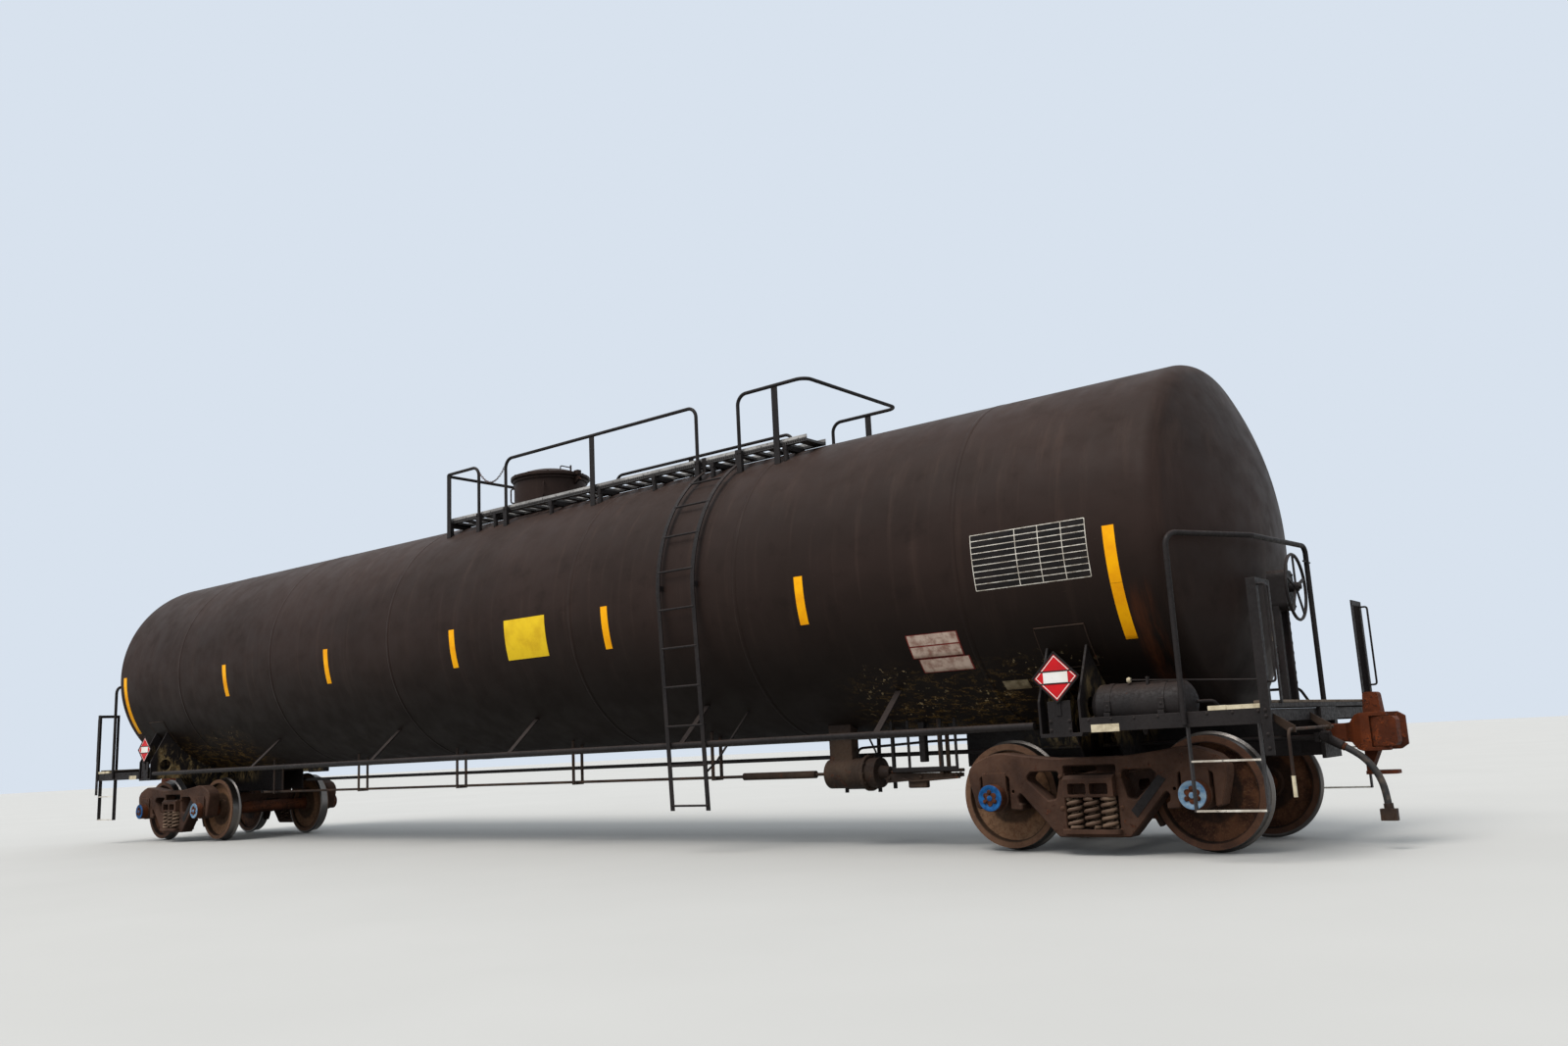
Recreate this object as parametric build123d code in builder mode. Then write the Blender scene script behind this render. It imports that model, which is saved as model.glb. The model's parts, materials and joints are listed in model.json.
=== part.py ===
from math import acos, asin, atan2, cos, pi, radians, sin, sqrt
import os

from build123d import *

# A four-axle railway tank car with stub sills, in millimetres.
# X runs along the car, +X is the hand-brake end B, -X is end A, Z is up.
# Z = 0 is the underside of the wheel flanges, the rail top is one flange height above.

# Driving sizes
flange_height = 25.4
rail = flange_height
wheel_d = 914.4
rim_width = 145.3
wheel_gauge = 1348.6
wheelbase = 1778.0
journal_out = 329.0
plate_low = rail + 654.0
coupler_rise = 220.0

tank_d = 3162.0
shell_length = 17270.0
tank_low = rail + 1015.0
head_knuckle = 200.0
truck_inset = 832.0
sill_reach = 835.0
pull_reach = 530.0

# Clearances
seat = 0.3
running = 6.0
pin_gap = 0.8

# Places worked out from the driving sizes
tank_r = tank_d / 2
tank_z = tank_low + tank_r
tank_top = tank_z + tank_r
head_crown = tank_d
half_shell = shell_length / 2
truck_x = half_shell - truck_inset
sill_end_x = half_shell + sill_reach
pull_face_x = sill_end_x + pull_reach
coupler_z = plate_low + coupler_rise
axle_z = rail + wheel_d / 2
half_base = wheelbase / 2
journal_y = wheel_gauge / 2 + journal_out
ENDS = (("a", -1), ("b", 1))
SIDES = (("left", -1), ("right", 1))


def skin_z(y, stand=0.0, top=True):
    """Height of the tank skin at a lateral place, with a stand-off."""
    rise = sqrt((tank_r + stand) ** 2 - y ** 2)
    return tank_z + rise if top else tank_z - rise


def side_plane(x, y, z):
    """Plane that faces -Y, with its own x along the car and its own y up."""
    return Plane(origin=(x, y, z), x_dir=(1, 0, 0), z_dir=(0, -1, 0))


def end_plane(x, y=0.0, z=0.0):
    """Plane that faces +X, with its own x along +Y and its own y up."""
    return Plane(origin=(x, y, z), x_dir=(0, 1, 0), z_dir=(1, 0, 0))


def box(x, y, z):
    """Add a block in the open part, given by its low and high places on each axis."""
    centre = Vector((x[0] + x[1]) / 2, (y[0] + y[1]) / 2, (z[0] + z[1]) / 2)
    with Locations(centre):
        Box(abs(x[1] - x[0]), abs(y[1] - y[0]), abs(z[1] - z[0]))


def pipe(points, radius, bend):
    """Add a round pipe in the open part along straight runs with rounded corners."""
    with BuildLine() as route:
        FilletPolyline(*points, radius=bend)
    path = route.wires()[0]
    with BuildSketch(Plane(origin=path @ 0, z_dir=path % 0)) as section:
        Circle(radius)
    sweep(section.sketch, path=path)


def dish_middle(radius, rise):
    """Middle point of a dished end's arc, as distance from its axis and height."""
    crown = (radius ** 2 + rise ** 2) / (2 * rise)
    half_angle = asin(radius / crown) / 2
    return (crown * sin(half_angle), rise - crown * (1 - cos(half_angle)))


def tank_envelope(stand):
    """The tank barrel as a cutting tool, grown by a stand-off."""
    with BuildPart() as tool:
        with BuildSketch(Plane.YZ.offset(-half_shell)):
            with Locations((0, tank_z)):
                Circle(tank_r + stand)
        extrude(amount=shell_length)
    return tool.part


def save(part, name):
    part.label = name
    export_step(part, f"parts/{name}.step")


os.makedirs("parts", exist_ok=True)

# Tank: a barrel with two dished heads, each a crown arc and a knuckle arc
crown_x = half_shell - sqrt((head_crown - head_knuckle) ** 2 - (tank_r - head_knuckle) ** 2)
knuckle_angle = atan2(tank_r - head_knuckle, half_shell - crown_x)
tip_x = crown_x + head_crown


def head_point(centre_x, centre_r, radius, angle, way):
    return (way * (centre_x + radius * cos(angle)), centre_r + radius * sin(angle))


def head_x(radius):
    """Place along the car of the head's skin, at a distance from the tank's axis."""
    bend = tank_r - head_knuckle
    crown = crown_x + sqrt(head_crown ** 2 - radius ** 2)
    if radius < head_crown * sin(knuckle_angle):
        return crown
    return half_shell + sqrt(max(head_knuckle ** 2 - (radius - bend) ** 2, 0))


with BuildPart() as tank:
    with BuildSketch(side_plane(0, 0, tank_z)):
        with BuildLine():
            Line((-tip_x, 0), (tip_x, 0))
            for way in (-1, 1):
                ThreePointArc(
                    (way * tip_x, 0),
                    head_point(crown_x, 0, head_crown, knuckle_angle / 2, way),
                    head_point(crown_x, 0, head_crown, knuckle_angle, way),
                )
                ThreePointArc(
                    head_point(crown_x, 0, head_crown, knuckle_angle, way),
                    head_point(half_shell, tank_r - head_knuckle, head_knuckle,
                               (knuckle_angle + pi / 2) / 2, way),
                    (way * half_shell, tank_r),
                )
            Line((-half_shell, tank_r), (half_shell, tank_r))
        make_face()
    revolve(axis=Axis((0, 0, tank_z), (1, 0, 0)))
save(tank.part, "tank")

barrel_gap = tank_envelope(seat)

# Valve housing on the tank top
housing_r = 475.0
housing_wall = 14.0
housing_top = tank_top + 443.0
hinge_x = -housing_r - 115.0
hinge_z = housing_top + 30.0
hinge_pin_r = 14.0
lug_thick = 22.0
lug_y = 60.0

with BuildPart() as dome_housing:
    with BuildSketch(Plane.XY.offset(tank_z)):
        Circle(housing_r)
        Circle(housing_r - housing_wall, mode=Mode.SUBTRACT)
    extrude(amount=housing_top - tank_z)
    with BuildSketch(Plane.XY.offset(housing_top - 40)):
        Circle(housing_r + 16)
        Circle(housing_r - housing_wall, mode=Mode.SUBTRACT)
    extrude(amount=40)
    for y in (-lug_y, lug_y):
        with BuildSketch(side_plane(0, y + lug_thick / 2, 0)):
            with BuildLine():
                Polyline(
                    (-housing_r - 10, housing_top - 150), (hinge_x - 30, hinge_z - 30),
                    (hinge_x - 30, hinge_z + 30), (hinge_x + 30, hinge_z + 30),
                    (hinge_x + 30, housing_top - 1), (-housing_r - 10, housing_top - 1), close=True,
                )
            make_face()
            with Locations((hinge_x, hinge_z)):
                Circle(hinge_pin_r + pin_gap, mode=Mode.SUBTRACT)
        extrude(amount=lug_thick)
    with BuildSketch(side_plane(0, 15, 0)):
        with BuildLine():
            Polyline(
                (housing_r + 10, housing_top - 120), (housing_r + 80, housing_top - 60),
                (housing_r + 80, housing_top - 8), (housing_r + 10, housing_top - 8), close=True,
            )
        make_face()
    extrude(amount=30)
    add(barrel_gap, mode=Mode.SUBTRACT)
save(dome_housing.part, "dome_housing")

# Lid of the valve housing, modelled shut: a flat rim and a low crown
lid_rim_r = 520.0
lid_rim = 36.0
lid_crown_r = 490.0
lid_rise = 118.0
lid_sheet = 12.0
lid_z = housing_top + seat

with BuildPart() as dome_cover:
    with BuildSketch(Plane.XZ):
        with BuildLine():
            Line((0, lid_z + lid_rim + lid_rise - lid_sheet), (0, lid_z + lid_rim + lid_rise))
            middle = dish_middle(lid_crown_r, lid_rise)
            ThreePointArc(
                (0, lid_z + lid_rim + lid_rise),
                (middle[0], lid_z + lid_rim + middle[1]),
                (lid_crown_r, lid_z + lid_rim),
            )
            Polyline(
                (lid_crown_r, lid_z + lid_rim), (lid_rim_r, lid_z + lid_rim), (lid_rim_r, lid_z),
                (housing_r - housing_wall, lid_z),
                (housing_r - housing_wall, lid_z + lid_sheet),
            )
            middle = dish_middle(housing_r - housing_wall, lid_rim + lid_rise - 2 * lid_sheet)
            ThreePointArc(
                (housing_r - housing_wall, lid_z + lid_sheet),
                (middle[0], lid_z + lid_sheet + middle[1]),
                (0, lid_z + lid_rim + lid_rise - lid_sheet),
            )
        make_face()
    revolve(axis=Axis.Z)
    with BuildSketch(side_plane(0, lug_y - lug_thick / 2 - running, 0)):
        with BuildLine():
            Polyline(
                (-lid_rim_r + 30, lid_z), (hinge_x + 34, lid_z), (hinge_x + 26, hinge_z - 22),
                (hinge_x - 24, hinge_z - 22), (hinge_x - 24, hinge_z + 24),
                (-lid_rim_r + 30, hinge_z + 24), close=True,
            )
        make_face()
    extrude(amount=2 * lug_y - lug_thick - 2 * running)
    with BuildSketch(side_plane(hinge_x, lug_y + lug_thick / 2 + 12, hinge_z)):
        Circle(hinge_pin_r)
    extrude(amount=2 * lug_y + lug_thick + 24)
    box((lid_rim_r - 30, lid_rim_r + 45), (-32, 32), (lid_z + 2, lid_z + 60))
    with BuildSketch(Plane.XY.offset(lid_z + lid_rim + 25)):
        with Locations((lid_crown_r - 90, 0)):
            Circle(12)
    extrude(amount=90)
save(dome_cover.part, "dome_cover")

# Valves under the lid, on their cover plate
VALVES = (
    # x, y, body radius, height
    (-200, 0, 55, 230),
    (200, 0, 55, 230),
    (0, -210, 48, 200),
    (0, 215, 80, 300),
    (-140, -180, 30, 160),
    (150, 175, 30, 180),
)
cover_plate_r = 345.0
cover_plate_z = tank_z + tank_r + 60

with BuildPart() as valve_plate:
    with BuildSketch(Plane.XY.offset(tank_z)):
        Circle(cover_plate_r)
    extrude(amount=cover_plate_z - tank_z)
    for x, y, radius, height in VALVES:
        with BuildSketch(Plane.XY.offset(cover_plate_z)):
            with Locations((x, y)):
                Circle(radius)
        extrude(amount=height * 0.7)
        with BuildSketch(Plane.XY.offset(cover_plate_z + height * 0.7)):
            with Locations((x, y)):
                Circle(radius * 0.55)
        extrude(amount=height * 0.3)
    add(barrel_gap, mode=Mode.SUBTRACT)
save(valve_plate.part, "valve_plate")

# Walkways on the tank top: slotted decks with toe bands, on cross angles with feet
walk_in = 500.0
walk_out = 840.0
walk_x = (-1080.0, 4900.0)
walk_stand = 4.2
walk_z = skin_z(walk_in) + walk_stand
deck_thick = 25.0
band_height = 70.0
band_thick = 8.0
slot_pitch = 215.0
SUPPORT_X = (-1010, -110, 954, 1816, 2709, 3600, 4620)
foot_y = walk_out - 6.0

with BuildPart() as walkways:
    for side, way in SIDES:
        inner, outer = sorted((way * walk_in, way * walk_out))
        box(walk_x, (inner, outer), (walk_z, walk_z + deck_thick))
        for y in (inner, outer - band_thick):
            box(walk_x, (y, y + band_thick), (walk_z, walk_z + band_height))
    slots = int((walk_x[1] - walk_x[0]) / slot_pitch)
    with BuildSketch(Plane.XY.offset(walk_z)):
        for side, way in SIDES:
            with Locations(((walk_x[0] + walk_x[1]) / 2, way * (walk_in + walk_out) / 2)):
                with GridLocations(slot_pitch, 1, slots, 1):
                    Rectangle(slot_pitch * 0.62, (walk_out - walk_in) * 0.68)
    extrude(amount=deck_thick, mode=Mode.SUBTRACT)
save(walkways.part, "walkways")

angle_leg = 55.0
foot_r = 28.0
with BuildPart() as walkway_supports:
    for x in SUPPORT_X:
        for side, way in SIDES:
            ends = (way * (walk_in + 40), way * (foot_y + foot_r))
            box((x - angle_leg / 2, x + angle_leg / 2), ends, (walk_z - angle_leg, walk_z))
            with BuildSketch(Plane.XY.offset(tank_z + tank_r * 0.5)):
                with Locations((x, way * foot_y)):
                    Circle(foot_r)
            extrude(amount=walk_z - tank_z - tank_r * 0.5)
    add(barrel_gap, mode=Mode.SUBTRACT)
save(walkway_supports.part, "walkway_supports")

# Handrails on the tank top: four pipe frames with flat posts
rail_r = 20.0
rail_y = 885.0
rail_rise = 660.0
rail_z = walk_z + rail_rise
rail_bend = 120.0
post_width = 75.0
post_thick = 14.0


def rail_foot(x, y):
    """Block that carries a rail leg down to the tank skin."""
    box((x - 32, x + 32), (y - 22, y + 22), (tank_z + tank_r * 0.6, walk_z + 40))


def flat_post(x, way):
    outer = way * (rail_y + post_thick / 2)
    inner = way * (rail_y - post_thick / 2)
    box((x - post_width / 2, x + post_width / 2), (inner, outer), (tank_z + tank_r * 0.6, rail_z))


def side_rail(x0, x1, post_x, way, name):
    with BuildPart() as frame:
        y = way * rail_y
        pipe([(x0, y, walk_z), (x0, y, rail_z), (x1, y, rail_z), (x1, y, walk_z)], rail_r, rail_bend)
        rail_foot(x0, y)
        rail_foot(x1, y)
        flat_post(post_x, way)
        add(barrel_gap, mode=Mode.SUBTRACT)
    save(frame.part, name)


def end_rail_loop(x_leg, x_corner, near_post, name):
    with BuildPart() as frame:
        points = []
        for way in (-1, 1):
            y = way * rail_y
            corner = [(x_leg, y, walk_z), (x_leg, y, rail_z), (x_corner, y, rail_z)]
            points += corner if way < 0 else corner[::-1]
            rail_foot(x_leg, y)
            flat_post(near_post, way)
        pipe(points, rail_r, rail_bend)
        add(barrel_gap, mode=Mode.SUBTRACT)
    save(frame.part, name)


side_rail_x = (157.0, 3420.0)
gate_x = 350.0
side_post_x = 1740.0
loop_a_x = (-380.0, walk_x[0] - 10.0)
loop_b_x = (4030.0, walk_x[1] + 50.0)
side_rail(*side_rail_x, side_post_x, -1, "handrail_left")
side_rail(gate_x, side_rail_x[1], side_post_x, 1, "handrail_right")
end_rail_loop(*loop_a_x, loop_a_x[1] + 90.0, "handrail_end_a")
end_rail_loop(*loop_b_x, loop_b_x[1] - 410.0, "handrail_end_b")

# Side ladders: flat stiles that follow the tank and then drop, with round rungs
ladder_x = (3480.0, 3960.0)
ladder_stand = 65.0
stile_width = 50.0
stile_thick = 12.0
ladder_foot_y = 1530.0
ladder_foot_z = rail + 400.0
rung_z = rail + 450.0
rung_pitch = 395.0
rung_r = 11.0
rung_count = 10
ladder_r = tank_r + ladder_stand
ladder_top = acos((walk_out + stile_thick / 2 + seat) / ladder_r)


def ladder_place(run, way, stand=0.0):
    """Point beside the ladder's middle line, a run above the tank axis or below it."""
    radius = ladder_r + stand
    if run > 0:
        return (way * radius * cos(run / ladder_r), tank_z + radius * sin(run / ladder_r))
    lean = run / (ladder_foot_z - tank_z)
    return (way * (radius + (ladder_foot_y - ladder_r) * lean), tank_z + run)


for side, way in SIDES:
    with BuildPart() as ladder:
        top_run = ladder_top * ladder_r
        foot_run = ladder_foot_z - tank_z
        half = stile_thick / 2
        for x in ladder_x:
            with BuildSketch(end_plane(x - stile_width / 2)):
                with BuildLine():
                    for stand in (-half, half):
                        Line(ladder_place(foot_run, way, stand), ladder_place(0, way, stand))
                        ThreePointArc(
                            ladder_place(0, way, stand),
                            ladder_place(top_run / 2, way, stand),
                            ladder_place(top_run, way, stand),
                        )
                    Line(ladder_place(foot_run, way, -half), ladder_place(foot_run, way, half))
                    Line(ladder_place(top_run, way, -half), ladder_place(top_run, way, half))
                make_face()
            extrude(amount=stile_width)
            box((x - 20, x + 20), sorted((way * (tank_r - 40), way * ladder_r)),
                (tank_z + 35, tank_z + 85))
            hook_y = sorted((way * (walk_out + seat), way * (walk_out + seat + stile_thick)))
            box((x - stile_width / 2, x + stile_width / 2), hook_y,
                (ladder_place(top_run, way)[1] - 10, walk_z + band_height))
        for rung in range(rung_count):
            y, z = ladder_place(rung_z + rung * rung_pitch - tank_z, way)
            with BuildSketch(end_plane(ladder_x[0], y, z)):
                Circle(rung_r)
            extrude(amount=ladder_x[1] - ladder_x[0])
        add(barrel_gap, mode=Mode.SUBTRACT)
    save(ladder.part, f"side_ladder_{side}")

# Side pipes with flat struts up to the tank
side_pipe_y = 1520.0
side_pipe_z = rail + 1050.0
side_pipe_r = 30.0
side_pipe_x = truck_x - 243.0
stay_half = 15.0
STRUT_X = (-4700, -1790, 914, 3600, 5985)
strut_top_y = 1080.0
strut_width = 65.0
strut_thick = 14.0
strut_top_z = skin_z(strut_top_y, top=False)
strut_lean = atan2(strut_top_z - side_pipe_z, side_pipe_y - strut_top_y)

for side, way in SIDES:
    with BuildPart() as side_pipe:
        with BuildSketch(end_plane(-side_pipe_x, way * side_pipe_y, side_pipe_z)):
            Circle(side_pipe_r)
        extrude(amount=2 * side_pipe_x)
        for x in STRUT_X:
            with BuildSketch(end_plane(x - strut_width / 2)):
                across = Vector(sin(strut_lean), cos(strut_lean)) * strut_thick / 2
                reach = 30.0
                low = (side_pipe_y, side_pipe_z)
                high = (strut_top_y - reach * cos(strut_lean), strut_top_z + reach * sin(strut_lean))
                with BuildLine():
                    Polyline(
                        (way * (low[0] - across.X), low[1] - across.Y),
                        (way * (low[0] + across.X), low[1] + across.Y),
                        (way * (high[0] + across.X), high[1] + across.Y),
                        (way * (high[0] - across.X), high[1] - across.Y), close=True,
                    )
                make_face()
            extrude(amount=strut_width)
        for x in ladder_x:
            stay_low = side_pipe_z - stay_half
            y = ladder_place(stay_low - tank_z, way, -stile_thick / 2 - seat)[0]
            box((x - 20, x + 20), sorted((way * side_pipe_y, y)), (stay_low, side_pipe_z + stay_half))
        add(barrel_gap, mode=Mode.SUBTRACT)
    save(side_pipe.part, f"side_pipe_{side}")

# Stub sills: an upside-down channel under the tank, with a striker at the end
sill_half = 175.0
sill_web = 14.0
sill_low = coupler_z - 169.0
sill_high = coupler_z + 186.0
sill_in_x = truck_x - 1653.0
striker = 32.0
striker_half_y = 235.0
striker_z = (coupler_z - 194.0, coupler_z + 216.0)
gusset_length = 190.0
gusset_z = (coupler_z - 150.0, coupler_z + 80.0)
mouth_half_y = 150.0
shank_y = 66.0
shank_z = 75.0
mouth_z = (coupler_z - shank_z - running, coupler_z + 105.0)
pivot_x = sill_end_x - 600.0
pivot_r = 40.0
plate_r = 178.0
kingpin_r = 30.0
pocket_x = sill_end_x - 900.0

for end, way in ENDS:
    with BuildPart() as stub_sill:
        span = sorted((way * sill_in_x, way * sill_end_x))
        box(span, (-sill_half, sill_half), (sill_low, sill_high))
        inner = sill_half - sill_web
        with Locations(((span[0] + span[1]) / 2, 0, (sill_low - 1 + sill_high - 60) / 2)):
            Box(span[1] - span[0], 2 * inner, sill_high - 60 - sill_low + 1, mode=Mode.SUBTRACT)
        box(sorted((way * (truck_x - 230), way * (truck_x + 230))), (-sill_half, sill_half),
            (sill_low, sill_low + 40))
        box(sorted((way * pocket_x, way * sill_end_x)), (-sill_half, sill_half),
            (sill_low, sill_low + 16))
        box(sorted((way * (sill_end_x - striker), way * sill_end_x)),
            (-striker_half_y, striker_half_y), striker_z)
        for hand in (-1, 1):
            with BuildSketch(Plane.XY.offset(gusset_z[0])):
                with BuildLine():
                    Polyline(
                        (way * (sill_end_x - striker), hand * (sill_half - 5)),
                        (way * (sill_end_x - striker), hand * (striker_half_y - 8)),
                        (way * (sill_end_x - striker - gusset_length), hand * (sill_half - 5)), close=True,
                    )
                make_face()
            extrude(amount=gusset_z[1] - gusset_z[0])
        with Locations((way * (sill_end_x - striker / 2), 0, sum(mouth_z) / 2)):
            Box(2 * striker, 2 * mouth_half_y, mouth_z[1] - mouth_z[0], mode=Mode.SUBTRACT)
        with BuildSketch(Plane.XY.offset(plate_low)):
            with Locations((way * truck_x, 0)):
                Circle(plate_r)
        extrude(amount=sill_low - plate_low)
        with BuildSketch(Plane.XY.offset(plate_low - 90)):
            with Locations((way * truck_x, 0)):
                Circle(kingpin_r)
        extrude(amount=120)
        with BuildSketch(Plane.XY.offset(sill_low)):
            with Locations((way * pivot_x, 0)):
                Circle(pivot_r)
        extrude(amount=sill_high - 30 - sill_low)
        add(barrel_gap, mode=Mode.SUBTRACT)
        add(tank.part, mode=Mode.SUBTRACT)
    save(stub_sill.part, f"stub_sill_{end}")

# Body bolsters: two webs that cradle the tank, with side plates and jacking pads
bolster_half_x = 185.0
web_thick = 18.0
bolster_y = 1543.0
bolster_low = rail + 980.0
pad_low = rail + 950.0
cheek_z = rail + 1240.0
saddle_y = 1300.0
bearing_y = 635.0
bearing_low = plate_low + 62.0

train_r = 21.0
train_y = -340.0
train_z = rail + 850.0
train_cross_x = (250.0 - sill_in_x, 950.0 - sill_in_x)

for end, way in ENDS:
    with BuildPart() as body_bolster:
        centre = way * truck_x
        for x in (centre - bolster_half_x, centre + bolster_half_x - web_thick):
            with BuildSketch(end_plane(x)):
                for hand in (-1, 1):
                    with BuildLine():
                        Polyline(
                            (hand * (sill_half + seat), sill_low + 60),
                            (hand * 760, sill_low + 60),
                            (hand * 900, bolster_low), (hand * bolster_y, bolster_low),
                            (hand * bolster_y, cheek_z),
                            (hand * saddle_y, skin_z(saddle_y, top=False)),
                            (hand * saddle_y * 0.8, tank_z - tank_r * 0.4),
                            (hand * (sill_half + seat), tank_z - tank_r * 0.8), close=True,
                        )
                    make_face()
                    with Locations((hand * 1310, rail + 1180)):
                        Circle(85, mode=Mode.SUBTRACT)
                with Locations((way * train_y, train_z)):
                    Circle(train_r + 3 * seat, mode=Mode.SUBTRACT)
            extrude(amount=web_thick)
        for hand in (-1, 1):
            x_span = (centre - bolster_half_x, centre + bolster_half_x)
            box(x_span, sorted((hand * 895, hand * bolster_y)), (bolster_low - 14, bolster_low))
            box(x_span, sorted((hand * (sill_half + seat), hand * 765)),
                (sill_low + 46, sill_low + 60))
            box((centre - 100, centre + 100), sorted((hand * (bolster_y - 14), hand * bolster_y)),
                (pad_low + 14, cheek_z))
            box((centre - 180, centre + 180), sorted((hand * (bolster_y - 170), hand * bolster_y)),
                (pad_low, bolster_low - 14))
            box((centre - 110, centre + 110),
                sorted((hand * (bearing_y - 60), hand * (bearing_y + 60))),
                (bearing_low, sill_low + 46))
        add(barrel_gap, mode=Mode.SUBTRACT)
    save(body_bolster.part, f"body_bolster_{end}")

# Side sills, end beam and end decks beyond each body bolster
sill_y = 1548.0
channel_depth = 114.0
channel_flange = 60.0
channel_web = 10.0
channel_low = rail + 979.0
side_sill_end = sill_end_x - 20.0
deck_in_x = half_shell + 580.0
deck_z = rail + 1118.0
beam_front = sill_end_x - striker - seat

for end, way in ENDS:
    with BuildPart() as end_frame:
        start = truck_x + bolster_half_x + seat
        for hand in (-1, 1):
            x_span = sorted((way * start, way * side_sill_end))
            face = hand * sill_y
            box(x_span, sorted((face, face - hand * channel_web)),
                (channel_low, channel_low + channel_depth))
            for z in (channel_low, channel_low + channel_depth - channel_web):
                box(x_span, sorted((face, face - hand * channel_flange)), (z, z + channel_web))
            beam_y = sorted((face - hand * channel_web, hand * (sill_half + seat)))
            for x in (beam_front - 80, deck_in_x - 60):
                box(sorted((way * x, way * (x + 80))), beam_y,
                    (channel_low + 12, channel_low + channel_depth - channel_web))
        deck_x = sorted((way * (deck_in_x - 60), way * (side_sill_end + 10)))
        box(deck_x, (-sill_y, sill_y), (channel_low + channel_depth, deck_z + 8))
        with BuildSketch(Plane.XY.offset(channel_low + channel_depth - 5)):
            with Locations(((deck_x[0] + deck_x[1]) / 2, 0)):
                with GridLocations(1, 210, 1, 14):
                    Rectangle((deck_x[1] - deck_x[0]) * 0.7, 120)
        extrude(amount=60, mode=Mode.SUBTRACT)
        add(tank.part, mode=Mode.SUBTRACT)
    save(end_frame.part, f"end_frame_{end}")

# End rails: a pipe up from the side sill, round the tank head and down to the deck
end_rail_r = 22.0
end_rail_z = tank_z - 116.0
end_rail_x = head_x(sill_y) + 85.0
end_rail_drop = (head_x(350.0) + 193.0, 350.0)
end_rail_mid = (head_x(760.0) + 156.0, -760.0)

for end, way in ENDS:
    with BuildPart() as end_rail:
        pipe(
            [
                (way * end_rail_x, -sill_y - end_rail_r, channel_low + 20),
                (way * end_rail_x, -sill_y - end_rail_r, end_rail_z),
                (way * end_rail_mid[0], end_rail_mid[1], end_rail_z),
                (way * end_rail_drop[0], end_rail_drop[1], end_rail_z),
                (way * end_rail_drop[0], end_rail_drop[1], deck_z + 8),
            ],
            end_rail_r, [110, 110, 70],
        )
    save(end_rail.part, f"end_rail_{end}")

# Corner stiles with a grab bar, and the sill steps under the side sills
stile_x = (sill_end_x - 70.0, sill_end_x)
stile_z = (rail + 750.0, rail + 2050.0)
stile_y = sill_y + seat
step_leg_x = (half_shell + 195.0, half_shell + 742.0)
step_low = rail + 350.0
step_mid = rail + 715.0
step_y = sill_y + seat
step_bar = 14.0
step_width = 50.0

for end, way in ENDS:
    with BuildPart() as corner_stiles:
        for hand in (-1, 1):
            face = hand * stile_y
            x_span = sorted((way * stile_x[0], way * stile_x[1]))
            box(x_span, sorted((face, face + hand * 12)), stile_z)
            edge = sorted((way * (stile_x[1] - 12), way * stile_x[1]))
            box(edge, sorted((face + hand * 12, face - hand * 45)), (deck_z + 9, stile_z[1]))
            bar_y = sorted((face, face - hand * 330))
            box(edge, bar_y, (stile_z[1] - 45, stile_z[1]))
            inner = face - hand * 330
            box(edge, sorted((inner, inner + hand * 40)), (deck_z + 8, stile_z[1]))
    save(corner_stiles.part, f"corner_stiles_{end}")

with BuildPart() as sill_steps:
    for end, way in ENDS:
        for hand in (-1, 1):
            y_leg = sorted((hand * (step_y - step_width), hand * step_y))
            for x in step_leg_x:
                x_leg = sorted((way * x, way * (x + (step_bar if x == step_leg_x[0] else -step_bar))))
                box(x_leg, y_leg, (step_low, channel_low))
            span = sorted((way * step_leg_x[0], way * step_leg_x[1]))
            for z in (step_low, step_mid):
                box(span, y_leg, (z, z + step_bar))
save(sill_steps.part, "sill_steps")

# Hand brake at end B: wheel, gear housing on its stand, and the rod down
brake_wheel_x = sill_end_x - 30.0
brake_wheel_y = -400.0
brake_wheel_z = rail + 2060.0
brake_wheel_r = 268.0
rim_r = 13.0
spoke_count = 5

with BuildPart() as brake_wheel:
    with BuildSketch(Plane(origin=(brake_wheel_x, brake_wheel_y, brake_wheel_z), x_dir=(0, 0, 1),
                           z_dir=(0, 1, 0))):
        with Locations((brake_wheel_r, 0)):
            RegularPolygon(rim_r, 6)
    revolve(axis=Axis((brake_wheel_x, brake_wheel_y, brake_wheel_z), (1, 0, 0)))
    for spoke in range(spoke_count):
        turn = 90 + spoke * 360 / spoke_count
        with Locations(Location((brake_wheel_x, brake_wheel_y, brake_wheel_z), (turn, 0, 0))):
            Box(12, brake_wheel_r, 26, align=(Align.CENTER, Align.MIN, Align.CENTER))
    with BuildSketch(end_plane(brake_wheel_x - 50, brake_wheel_y, brake_wheel_z)):
        Circle(38)
    extrude(amount=70)
save(brake_wheel.part, "brake_wheel")

housing_x = (brake_wheel_x - 190.0, brake_wheel_x - 50.0)
with BuildPart() as brake_housing:
    with BuildSketch(end_plane(housing_x[0], brake_wheel_y, brake_wheel_z - 20)):
        RectangleRounded(250, 330, 60)
    extrude(amount=housing_x[1] - housing_x[0])
    for y in (brake_wheel_y - 120, brake_wheel_y + 70):
        box((housing_x[0] + 20, housing_x[0] + 70), (y, y + 50), (deck_z + 8, brake_wheel_z - 150))
    rod_x = housing_x[0] + 100
    with BuildSketch(Plane.XY.offset(deck_z + 8)):
        with Locations((rod_x, brake_wheel_y)):
            Circle(12)
    extrude(amount=brake_wheel_z - deck_z - 100)
save(brake_housing.part, "brake_housing")

# Brake cylinder under the tank on its bracket
cylinder_length = 600.0
cylinder_x = (truck_x - 2973.0, truck_x - 2973.0 + cylinder_length)
cylinder_y = -620.0
cylinder_z = rail + 690.0
cylinder_r = 145.0

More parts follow.
